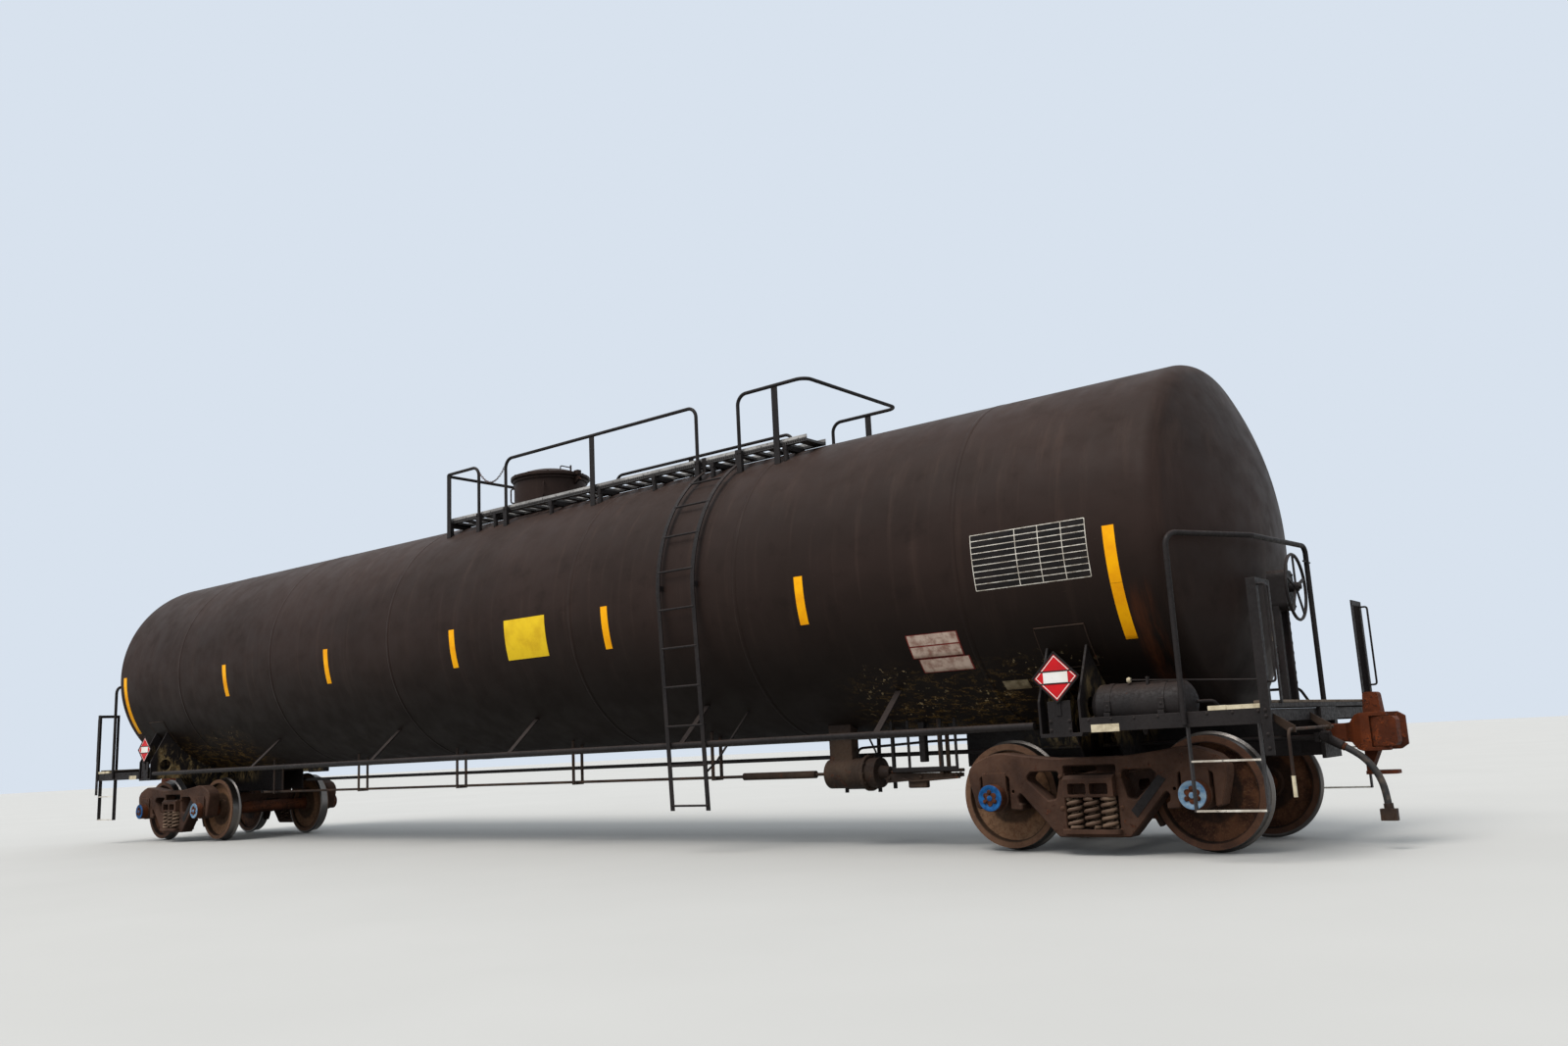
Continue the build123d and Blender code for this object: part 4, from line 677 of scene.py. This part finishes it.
# Spring nests: an outer and an inner coil on each of the six seats of a side frame
NEST_Z = (RAIL + 0.190, RAIL + 0.452)
COIL_PITCH_X = 0.150
COIL_Y = 0.082
COILS = ((0.053, 0.0165, 5.0), (0.027, 0.009, 8.0))  # radius, wire radius, turns
COIL_STEPS = 18
FLAT_TURNS = 0.4


def coil(x, y, radius, wire, turns, start):
    """Points of a coil that lies flat at both ends, from the seat to the top of the nest."""
    low, high = NEST_Z[0] + wire, NEST_Z[1] - wire
    path = []
    for k in range(round(turns * COIL_STEPS) + 1):
        share = k / (turns * COIL_STEPS)
        angle = tau * turns * share + start
        rise = min(1.0, max(0.0, (share * turns - FLAT_TURNS) / (turns - 2 * FLAT_TURNS)))
        path.append((x + radius * cos(angle), y + radius * sin(angle), low + (high - low) * rise))
    return path


for end, way in ENDS:
    coils = Shape()
    for side in SIGNS:
        for column in (-1, 0, 1):
            for row in SIGNS:
                for radius, wire, turns in COILS:
                    coils.tube(coil(way * TRUCK_X + column * COIL_PITCH_X, side * JOURNAL_Y + row * COIL_Y,
                                    radius, wire, turns, column + row), wire, 8)
    nest = coils.piece(f"spring_coils_{end}", "spring_steel", "cast_rust", f"truck_{end}", sharp=80)
    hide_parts(f"springs_{end}")

# Axle end caps: a blue or pale ring, a rusty lobed locking plate with three bolts, and a hub
CAP_Y = JOURNAL_Y + 0.185
CAP_FORM = ((0.112, -0.001), (0.112, 0.003), (0.108, 0.007), (0.086, 0.007), (0.082, 0.004), (0.040, 0.004))
HUB_FORM = ((0.024, 0.008), (0.024, 0.012), (0.018, 0.015))
CAP_BOLT_R = 0.052
CAP_LOOKS = {"1": "blue_cap", "2": "pale_cap"}
LOCK_R = 0.052
LOCK_LOBE = 0.017
LOCK_LOBES = 3
LOCK_TURN = 0.5


def lock_outline(sides=36):
    """The locking plate's lobed outline."""
    outline = []
    for k in range(sides):
        angle = tau * k / sides
        reach = LOCK_R + LOCK_LOBE * cos(LOCK_LOBES * angle)
        outline.append((reach * cos(angle + LOCK_TURN), reach * sin(angle + LOCK_TURN)))
    return outline


for end, way in ENDS:
    for number, along in (("1", -HALF_BASE), ("2", HALF_BASE)):
        axle = f"{end}{number}"
        x = way * TRUCK_X + along
        ring, hub, cap_bolts, lock = Shape(), Shape(), Shape(), Shape()
        for side in SIGNS:
            axis = (0, side, 0)
            face = (x, side * CAP_Y, AXLE_Z)
            ring.lathe(CAP_FORM, face, axis, 48)
            lock.plate(lock_outline(), (x, side * (CAP_Y + 0.0035), AXLE_Z), (-side, 0, 0), 0.005)
            hub.lathe(HUB_FORM, face, axis, 24)
            seats = circle((x, side * (CAP_Y + 0.008), AXLE_Z), axis, CAP_BOLT_R, 3, LOCK_TURN * side)
            cap_bolts.bolts(seats, axis, 0.016, 0.014)
        wheelset = f"wheelset_{axle}"
        ring.piece(f"axle_cap_{axle}", CAP_LOOKS[number], "axle_steel", wheelset)
        hub.piece(f"axle_hub_{axle}", CAP_LOOKS[number], "axle_steel", wheelset)
        lock.piece(f"lock_plate_{axle}", "axle_steel", body=wheelset, sharp=30)
        cap_bolts.piece(f"cap_bolts_{axle}", "axle_steel", body=wheelset, sharp=30)

# Side frames: a black wear plate on one arm, and bolt heads beside the spring opening
FRAME_FACE = JOURNAL_Y + 0.085
WEAR_PLATE = [(x, z + RAIL) for x, z in ((0.588, 0.617), (0.653, 0.582), (0.386, 0.282), (0.339, 0.340))]
FRAME_BOLTS = [(across, RAIL + z) for across in (-0.262, 0.262) for z in (0.36, 0.62)]

for end, way in ENDS:
    wear, frame_bolts = Shape(), Shape()
    for side in SIGNS:
        wear.plate(WEAR_PLATE, (way * TRUCK_X, side * FRAME_FACE, 0), (-side, 0, 0), 0.005)
        frame_bolts.bolts([(way * TRUCK_X + across, side * FRAME_FACE, z) for across, z in FRAME_BOLTS],
                          (0, side, 0), 0.015, 0.012)
    wear.piece(f"wear_plates_{end}", "frame_paint", body=f"truck_{end}", sharp=30)
    frame_bolts.piece(f"frame_bolts_{end}", "cast_rust", body=f"truck_{end}", sharp=30)

# Hazard boards: red sheets with a white line and a bare white band, in a black rim with two bars
BOARD_Z = RAIL + 1.430
BOARD_FACE = 1.5593
END_BOARD = (9.264, -0.430, RAIL + 1.485)
BOARD_SHEET = 0.192
BOARD_LINE = (0.178, 0.169)
BOARD_RIM = (0.212, 0.190)
BOARD_BOLTS = 0.200
BAND = (0.108, 0.044)
BAR = (0.158, 0.005)
BAR_RISE = 0.050

boards = [((way * TRUCK_X, hand * BOARD_FACE, BOARD_Z), (-hand, 0, 0)) for way in SIGNS for hand in SIGNS]
boards += [((way * END_BOARD[0], END_BOARD[1], END_BOARD[2]), (0, way, 0)) for way in SIGNS]
red, white, rims = Shape(), Shape(), Shape()
for place, along in boards:
    red.plate(diamond(BOARD_SHEET), place, along, 0.0008)
    white.rim(diamond(BOARD_LINE[0]), diamond(BOARD_LINE[1]), place, along, 0.0014)
    white.plate(oblong(*BAND), place, along, 0.0018)
    rims.rim(diamond(BOARD_RIM[0]), diamond(BOARD_RIM[1]), place, along, 0.005)
    for rise in (-BAR_RISE, BAR_RISE):
        rims.plate(oblong(*BAR, rise), place, along, 0.004)
    rims.bolts(standing([(diamond(BOARD_BOLTS), 0.0)], place, along), Vector(along).cross(UP), 0.007, 0.009)
red.piece("board_sheets", "red_sheet", "board_frame", sharp=30)
white.piece("board_bands", "white_sheet", "board_frame", sharp=30)
rims.piece("board_rims", "board_frame", sharp=30)

# Pads and welds on the jacket: saddle pads over the trucks, lap seams round the barrel
PAD_X = (7.565, 8.019)
PAD_Z = (1.548, 1.880)
PAD_ROWS = 12
PAD_THICK = 0.006
SEAMS = (-6.75, -4.15, -1.35, 2.05, 4.45, 6.95)
SEAM_FORM = ((TANK_R - 0.001, -0.026), (TANK_R + 0.0022, -0.024), (TANK_R + 0.0022, 0.024),
             (TANK_R - 0.001, 0.026))
SEAM_SIDES = 160

pads, welds, seams = Shape(), Shape(), Shape()
for way in SIGNS:
    for hand in SIGNS:
        span = mirrored(PAD_X, way)
        skin_patch(pads, span, PAD_Z, hand, PAD_THICK, PAD_ROWS, PAD_THICK)
        heights = [PAD_Z[0] + (PAD_Z[1] - PAD_Z[0]) * k / PAD_ROWS for k in range(PAD_ROWS + 1)]
        edge = [skin_point(span[0], z, hand, 0.004) for z in heights]
        edge += [skin_point(span[1], z, hand, 0.004) for z in heights[::-1]]
        welds.tube(edge, 0.005, 6, closed=True)
for x in SEAMS:
    angles = [tau * k / SEAM_SIDES for k in range(SEAM_SIDES)]
    seams.add([(x + along, radius * sin(angle), TANK_Z + radius * cos(angle))
               for radius, along in SEAM_FORM for angle in angles], between(4, SEAM_SIDES, closed=True))
pads.piece("saddle_pads", "tank_paint", sharp=60)
welds.piece("pad_welds", "brake_grime")
seams.piece("jacket_seams", "tank_paint", sharp=60)

# Walkways: a serrated strip under each toe band, and bolts through the bands
TOOTH_PITCH = 0.030
TOOTH = ((-0.010, 0.0), (0.010, 0.0), (0.006, 0.016), (-0.006, 0.016))
DECK_INNER_Y = 0.5

teeth, deck_bolts = Shape(), Shape()
for hand in SIGNS:
    for y, out in ((DECK_HIGH.y, 1), (DECK_INNER_Y, -1)):
        for k in range(int((DECK_HIGH.x - DECK_LOW.x) / TOOTH_PITCH)):
            place = (DECK_LOW.x + (k + 0.5) * TOOTH_PITCH, hand * (y + out * 0.0002), DECK_LOW.z + 0.012)
            teeth.plate(TOOTH, place, (-hand * out, 0, 0), 0.004)
    deck_bolts.bolts([(DECK_LOW.x + 0.12 + k * 0.25, hand * DECK_HIGH.y, DECK_LOW.z + 0.050)
                      for k in range(24)], (0, hand, 0), 0.008, 0.007)
teeth.piece("deck_teeth", "frame_paint", "walkway_steel", sharp=30)
deck_bolts.piece("deck_bolts", "walkway_steel", sharp=30)

# Handrails: bolts at the feet, and a safety chain across the gap
RAIL_Y = 0.885
LEGS = (-0.380, 0.157, 3.420, 4.030)
CHAIN_X = (-0.362, 0.139)
CHAIN_SAG = 0.16

rail_bolts, chains = Shape(), Shape()
for hand in SIGNS:
    rail_bolts.bolts([(x + dx, hand * (RAIL_Y + 0.022), DECK_LOW.z + 0.012)
                      for x in LEGS for dx in (-0.020, 0.020)], (0, hand, 0), 0.008, 0.008)
    start, stop = [Vector((x, hand * RAIL_Y, DECK_HIGH.z + 0.50)) for x in CHAIN_X]
    chains.chain([start.lerp(stop, k / 20) - UP * CHAIN_SAG * (1 - (k / 10 - 1) ** 2) for k in range(21)])
rail_bolts.piece("rail_bolts", "frame_paint", sharp=30)
chains.piece("safety_chains", "axle_steel", "frame_paint")

# Valve housing: lifting eyes on its wall, a hasp's seal wire, and bolts and a handle on the lid
HOUSING_R = 0.475
EYE_TURNS = (-2.2, -0.9, 0.9, 2.2)
EYE_REACH = 0.045
LID_TOP = HOUSING_TOP + 0.0363
LID_BOLT_R = 0.505
HANDLE = [(0.30, y, LID_TOP + rise)
          for y, rise in ((-0.09, 0.07), (-0.09, 0.115), (0.09, 0.115), (0.09, 0.07))]
SEAL = [(x, y, HOUSING_TOP - drop)
        for x, y, drop in ((0.556, 0.020, 0.03), (0.590, 0.0, 0.07), (0.556, -0.020, 0.03))]

eyes, lid_bolts, seal = Shape(), Shape(), Shape()
for turn in EYE_TURNS:
    spot = Vector((cos(turn), sin(turn), 0)) * (HOUSING_R - 0.002)
    away = spot.normalized() * EYE_REACH
    low, high = UP * (HOUSING_TOP - 0.30), UP * (HOUSING_TOP - 0.11)
    eyes.tube(bent([spot + low, spot + away + low, spot + away + high, spot + high], 0.03), 0.010, 8)
lid_bolts.bolts(circle((0, 0, LID_TOP), UP, LID_BOLT_R, 12, 0.26), UP, 0.011, 0.010)
lid_bolts.tube(bent(HANDLE, 0.025), 0.008, 8)
seal.tube(bent(SEAL, 0.012), 0.0022, 6)
eyes.piece("housing_eyes", "tank_paint")
seal.piece("seal_wire", "axle_steel", "frame_paint")
lid_bolts.piece("lid_bolts", "tank_paint", body="lid", sharp=30)

# Ladders: a brace from the foot to the tank, and bolts where the rungs meet the stiles
RUNG_LOW = RAIL + 0.450
RUNG_PITCH = 0.395
LADDER_X = (3.480, 3.960)
BRACE_Y = 0.972

ladder = Shape()
for hand in SIGNS:
    ladder.tube([(LADDER_X[1] - 0.006, hand * 1.530, 0.80), (LADDER_X[1] + 0.04, hand * 1.42, 0.90),
                 (4.065, hand * BRACE_Y, TANK_Z - sqrt(TANK_R ** 2 - BRACE_Y ** 2) + 0.004)], 0.012, 8)
    for rung in range(4):
        for x, out in zip(LADDER_X, SIGNS):
            at = (x + out * 0.001, hand * 1.536, RUNG_LOW + rung * RUNG_PITCH)
            ladder.bolts([at], (out, 0, 0), 0.012, 0.010)
ladder.piece("ladder_bolts", "frame_paint", sharp=35)

# Brake cylinder: flange bolts, a cap on its blind end, levers, guards, and the air pipes to both ends
CYLINDER_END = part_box("brake_cylinder")[0].x
CYLINDER_Y = -0.620
CYLINDER_Z = RAIL + 0.690
FLANGE_X = (5.280, 5.315)
CAP_STUB = ((0.050, -0.001), (0.050, 0.018), (0.040, 0.030))
PIPE_R = 0.013
LONG_PIPE = [(x, y, RAIL + rise) for x, y, rise in (
    (8.252, 1.310, 1.18), (6.05, 1.310, 1.18), (5.95, 1.22, 0.965), (5.95, -0.50, 0.965), (5.10, -0.52, 0.93),
    (5.10, -0.56, 0.815))]
TANK_PIPE = [(x, y, RAIL + rise) for x, y, rise in (
    (8.862, -1.320, 1.172), (8.990, -1.320, 1.172), (8.990, -1.250, 1.125), (8.990, 1.300, 1.125),
    (8.900, 1.300, 1.285), (8.558, 1.300, 1.285))]
UNION_X = (8.24, 8.14)
LEVER = ((5.470, 0.700), (5.505, 0.612), (5.970, 0.640), (6.330, 0.655), (6.330, 0.690), (5.970, 0.697))
LEVER_PINS = ((5.540, 0.662), (5.900, 0.668), (6.290, 0.674))
LEVER_ROD = [(x, CYLINDER_Y - 0.045, z) for x, z in ((5.70, 0.650), (5.80, 0.622), (6.33, 0.650))]
GUARDS = ((5.625, 5.811), (6.172, 6.330))
GUARD_Y = -0.701

brake_bolts, brake_cap, pipes = Shape(), Shape(), Shape()
for face, out in zip(FLANGE_X, SIGNS):
    axis = (out, 0, 0)
    brake_bolts.bolts(circle((face, CYLINDER_Y, CYLINDER_Z), axis, 0.160, 10), axis, 0.011, 0.012)
blind_end = circle((CYLINDER_END, CYLINDER_Y, CYLINDER_Z), (-1, 0, 0), 0.112, 8, 0.2)
brake_bolts.bolts(blind_end, (-1, 0, 0), 0.010, 0.010)
brake_cap.lathe(CAP_STUB, (CYLINDER_END, CYLINDER_Y + 0.005, CYLINDER_Z + 0.02), (-1, 0, 0), 24)
pipes.tube(bent(LONG_PIPE, 0.06), PIPE_R)
pipes.tube(bent(TANK_PIPE, 0.045), PIPE_R)
for x in UNION_X:
    pipes.lathe([(0.022, -0.018), (0.022, 0.018)], (x, 1.310, RAIL + 1.18), (1, 0, 0), 6)
levers, guards = Shape(), Shape()
for y in (CYLINDER_Y - 0.024, CYLINDER_Y + 0.036):
    levers.plate(LEVER, (0, y, 0), (1, 0, 0), 0.012)
for x, z in LEVER_PINS:
    levers.lathe([(0.012, -0.050), (0.012, 0.050)], (x, CYLINDER_Y, z), (0, 1, 0), 12)
    for out in SIGNS:
        levers.bolts([(x, CYLINDER_Y + out * 0.038, z)], (0, out, 0), 0.018, 0.014)
levers.block((5.745, CYLINDER_Y - 0.030, 0.560), (5.955, CYLINDER_Y + 0.030, 0.640), 0.008)
levers.tube(bent(LEVER_ROD, 0.04), 0.009, 8)
for pair in GUARDS:
    for x in pair:
        guards.block((x - 0.014, GUARD_Y - 0.008, 0.722), (x + 0.014, GUARD_Y + 0.004, 1.200), 0.002)
guards.block((GUARDS[0][0] - 0.014, GUARD_Y - 0.009, 0.712),
             (GUARDS[1][1] + 0.010, GUARD_Y + 0.005, 0.756), 0.003)
guards.block((5.900, CYLINDER_Y - 0.040, 0.800), (5.965, CYLINDER_Y + 0.030, 1.180), 0.006)
guards.block((5.475, CYLINDER_Y + 0.120, 0.552), (5.508, CYLINDER_Y + 0.150, 1.128), 0.003)
levers.piece("brake_levers", "brake_grime", sharp=30)
guards.piece("brake_guards", "frame_paint", sharp=30)
brake_bolts.piece("brake_bolts", "brake_grime", sharp=30)
brake_cap.piece("brake_cap", "orange_cap", "brake_grime")
pipes.piece("air_pipes", "frame_paint")

# Air reservoir: strap bolts, a drain cock, and the release rod with its pale knob
RESERVOIR_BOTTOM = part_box("air_reservoir")[0].z
RESERVOIR_Y = -1.320
RESERVOIR_R = 0.185
STRAP_X = (8.200, 8.640)
COCK_FORM = ((0.020, -0.02), (0.020, 0.03), (0.010, 0.055))
KNOB_FORM = ((0.004, -0.012), (0.018, -0.010), (0.024, 0.004), (0.018, 0.018), (0.004, 0.022))
RELEASE_Y = -1.400
RELEASE_Z = 1.395

air, knob = Shape(), Shape()
for x in STRAP_X:
    air.bolts([(x, RESERVOIR_Y - RESERVOIR_R, RAIL + 1.172)], (0, -1, 0), 0.011, 0.012)
    air.block((x - 0.026, -1.512, RAIL + 1.130), (x + 0.026, -1.500, RAIL + 1.215), 0.002)
air.lathe(COCK_FORM, (8.42, RESERVOIR_Y, RESERVOIR_BOTTOM + 0.004), (0, 0, -1), 12)
air.tube([(8.370, RELEASE_Y, RELEASE_Z), (9.412, RELEASE_Y, RELEASE_Z - 0.068)], 0.006, 8)
air.block((8.500, RELEASE_Y - 0.016, RAIL + 1.322), (8.520, RELEASE_Y + 0.016, RELEASE_Z + 0.018), 0.002)
air.block((9.402, RELEASE_Y - 0.012, RAIL + 1.126), (9.416, RELEASE_Y + 0.012, RELEASE_Z - 0.055), 0.002)
knob.lathe(KNOB_FORM, (8.362, RELEASE_Y, RELEASE_Z), (-1, 0, 0), 16)
air.piece("reservoir_fittings", "frame_paint", sharp=35)
knob.piece("release_knob", "cream_paint", "frame_paint")

# Side sills and end decks: bare cream plates, a pale nosing, a plank, and rows of bolts
SILL_TOP = RAIL + 1.093
DECK_TOP = RAIL + 1.126
NOSING_X = (9.011, 9.150)
NOSING_Y = (1.500, 1.550)
PLANK_X = (9.335, 9.448)
SILL_BOLTS_X = [8.05 + 0.19 * k for k in range(8)]
JACK_BOLTS = [(dx, RAIL + z) for dx in (-0.0825, 0.0825) for z in (1.005, 1.075)]
END_BOLTS_Z = (0.80, 0.90, 1.03, 1.075)

sill_plates, nosing, planks, sill_bolts = Shape(), Shape(), Shape(), Shape()
for way in SIGNS:
    for hand in SIGNS:
        along, axis = (-hand, 0, 0), (0, hand, 0)
        sill_plates.plate(oblong(0.118, 0.030), (way * 8.185, hand * SILL_Y, RAIL + 1.006), along, 0.002)
        (low_x, high_x), (low_y, high_y) = mirrored(NOSING_X, way), mirrored(NOSING_Y, hand)
        nosing.block((low_x, low_y, SILL_TOP + 0.0005), (high_x, high_y, DECK_TOP + 0.002), 0.002)
        nosing.plate(oblong(0.150, 0.016), (way * 9.302, hand * SILL_Y, DECK_TOP - 0.0155), along, 0.002)
        sill_bolts.bolts([(way * x, hand * SILL_Y, RAIL + 1.072) for x in SILL_BOLTS_X], axis, 0.009, 0.008)
        sill_bolts.bolts([(way * TRUCK_X + dx, hand * 1.543, z) for dx, z in JACK_BOLTS], axis, 0.012, 0.010)
        sill_bolts.bolts([(way * (SILL_END - 0.035), hand * 1.5603, RAIL + z) for z in END_BOLTS_Z],
                         axis, 0.011, 0.009)
    low_x, high_x = mirrored(PLANK_X, way)
    planks.block((low_x, -1.490, DECK_TOP + 0.0003), (high_x, 1.490, DECK_TOP + 0.022), 0.003)
sill_plates.piece("sill_plates", "cream_paint", "frame_paint", sharp=30)
nosing.piece("deck_nosing", "cream_paint", "frame_paint", sharp=30)
planks.piece("deck_planks", "worn_plank", "frame_paint", sharp=30)
sill_bolts.piece("sill_bolts", "frame_paint", sharp=30)

# Corner stiles: a thin grab rod in front of each; end rails: a cross pin near the top of the drop
GRAB = ((-0.004, 2.00), (0.055, 2.00), (0.055, 1.28), (-0.004, 1.28))
GRAB_Y = 1.53

rods = Shape()
for end, way in ENDS:
    rail_low, rail_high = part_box(f"end_rail_{end}")
    drop_x = (rail_high.x if way > 0 else rail_low.x) - way * 0.022
    rods.tube([(drop_x, y, rail_high.z - 0.16) for y in (0.25, 0.45)], 0.008, 8)
    for hand in SIGNS:
        face = way * (SILL_END + 0.001)
        rods.tube(bent([(face + way * reach, hand * GRAB_Y, RAIL + z) for reach, z in GRAB], 0.025), 0.009, 8)
rods.piece("end_rods", "frame_paint")

# Hand brake: hub nut, housing bolts, a chain down to the rod and a cream release handle
WHEEL_X = SILL_END - 0.030
WHEEL_Y = -0.400
WHEEL_Z = RAIL + 2.060
CHAIN_LINK = 0.040
FACE_BOLTS = [(WHEEL_X - 0.050, WHEEL_Y + dy, WHEEL_Z + dz) for dy in (-0.095, 0.095) for dz in (-0.15, 0.11)]

hand_brake, handle = Shape(), Shape()
hand_brake.bolts([(WHEEL_X + 0.020, WHEEL_Y, WHEEL_Z)], (1, 0, 0), 0.024, 0.024)
hand_brake.bolts(FACE_BOLTS, (1, 0, 0), 0.010, 0.010)
drop = Vector((WHEEL_X - 0.12, WHEEL_Y + 0.09, WHEEL_Z - 0.185))
hand_brake.chain([drop - UP * CHAIN_LINK * k for k in range(16)], 0.005)
handle.tube([(WHEEL_X - 0.19, WHEEL_Y - 0.092, 1.82), (WHEEL_X - 0.195, WHEEL_Y - 0.094, 1.66)], 0.013)
hand_brake.piece("hand_brake_fittings", "frame_paint", sharp=35)
handle.piece("release_handle", "cream_paint", "frame_paint")

# Uncoupling levers: a cream grip on each hanging handle; hoses: clamps and a coupling face
GRIP_X = SILL_END + 0.090
GRIP_Z = (RAIL + 0.449, RAIL + 0.600)
FACE_FORM = ((0.046, -0.034), (0.050, -0.020), (0.050, 0.020), (0.046, 0.038), (0.030, 0.042))
CLAMP_FORM = ((HOSE_R + 0.001, -0.012), (HOSE_R + 0.005, -0.010), (HOSE_R + 0.005, 0.010),
              (HOSE_R + 0.001, 0.012))

grips, clamps, coupling_faces = Shape(), Shape(), Shape()
for end, way in ENDS:
    grips.tube([(way * GRIP_X, -way * 1.500, z) for z in GRIP_Z], 0.0145, 12)
    low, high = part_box(f"hose_coupling_{end}")
    middle = (low + high) / 2
    coupling_faces.lathe(FACE_FORM, (middle.x, middle.y, low.z + 0.050), (0, 1, 0), 28)
    coupling_faces.block((middle.x - 0.052, middle.y + 0.030, low.z + 0.004),
                         (middle.x - 0.012, middle.y + 0.050, low.z + 0.080), 0.004)
    dip = radians(HOSE_TURNS[0])
    outward = Vector((way * cos(dip), 0, -sin(dip)))
    nipple = Vector((way * HOSE_EXIT[0], -way * HOSE_EXIT[1], HOSE_EXIT[2]))
    clamps.lathe(CLAMP_FORM, nipple + outward * 0.014, outward, 28)
grips.piece("lever_grips", "cream_paint", "brake_grime")
coupling_faces.piece("coupling_faces", "brake_grime")
clamps.piece("hose_clamps", "axle_steel", "brake_grime")

# Camera at the photograph's place, from the standard gauge of both trucks
CAMERA_PLACE = Vector((12.2679, -10.8681, RAIL + 0.9929))
CAMERA_YAW = 0.6560
CAMERA_PITCH = 0.1786
CAMERA_ROLL = -0.0503
FOCAL_PIXELS = 1257.14
PHOTO_WIDTH = 1600
SENSOR = 36.0

forward = Vector((-sin(CAMERA_YAW) * cos(CAMERA_PITCH), cos(CAMERA_YAW) * cos(CAMERA_PITCH),
                  sin(CAMERA_PITCH)))
level = forward.cross(UP).normalized()
upright = level.cross(forward)
right = level * cos(CAMERA_ROLL) + upright * sin(CAMERA_ROLL)
up = upright * cos(CAMERA_ROLL) - level * sin(CAMERA_ROLL)
camera_data = bpy.data.cameras.new("camera")
camera_data.sensor_width = SENSOR
camera_data.lens = FOCAL_PIXELS / PHOTO_WIDTH * SENSOR
camera_data.clip_end = 400
camera = added("camera", camera_data)
camera.matrix_world = Matrix.Translation(CAMERA_PLACE) @ Matrix((right, up, -forward)).transposed().to_4x4()
bpy.context.scene.camera = camera

# Pale floor, darker in the light that it throws back than where the camera sees it
FLOOR_HALF = 150.0
floor_look = Look("pale_floor")
floor_rays = floor_look.node("ShaderNodeLightPath").outputs
shown = floor_look.math("MAXIMUM", floor_rays["Is Camera Ray"], floor_rays["Is Glossy Ray"])
shown = floor_look.math("MAXIMUM", shown, floor_rays["Is Transmission Ray"])
floor_tone = floor_look.mix(floor_look.noise(0.4, 3.0), srgb(172, 170, 166), srgb(180, 178, 174))
floor_mesh = bpy.data.meshes.new("floor")
floor_mesh.from_pydata([(x * FLOOR_HALF, y * FLOOR_HALF, 0) for x, y in ((-1, -1), (1, -1), (1, 1), (-1, 1))],
                       [], [(0, 1, 2, 3)])
floor_look.finish(floor_look.mix(shown, srgb(112, 106, 98), floor_tone), 0.9)
floor_mesh.materials.append(LOOKS["pale_floor"])
added("floor", floor_mesh)

# Soft sky light with a pale backdrop, and one broad lamp high on the camera's side
world = bpy.data.worlds.new("studio")
sky = Tree(world)
backdrop = sky.node("ShaderNodeBackground", {0: srgb(216, 226, 238), 1: 1.0})
glow = sky.node("ShaderNodeBackground", {0: (0.86, 0.93, 1.0, 1.0), 1: 1.0})
camera_ray = sky.node("ShaderNodeLightPath").outputs["Is Camera Ray"]
either = sky.node("ShaderNodeMixShader", {0: camera_ray, 1: glow.outputs[0], 2: backdrop.outputs[0]})
sky.node("ShaderNodeOutputWorld", {0: either.outputs[0]})
bpy.context.scene.world = world

LAMP_FROM = Vector((-0.12, -0.62, 1.0))
lamp_data = bpy.data.lights.new("sky_lamp", "SUN")
lamp_data.energy = 2.9
lamp_data.angle = radians(35)
lamp_data.color = (1.0, 0.97, 0.93)
added("sky_lamp", lamp_data).rotation_euler = LAMP_FROM.to_track_quat("Z", "Y").to_euler()

bpy.context.scene.view_settings.view_transform = "Standard"
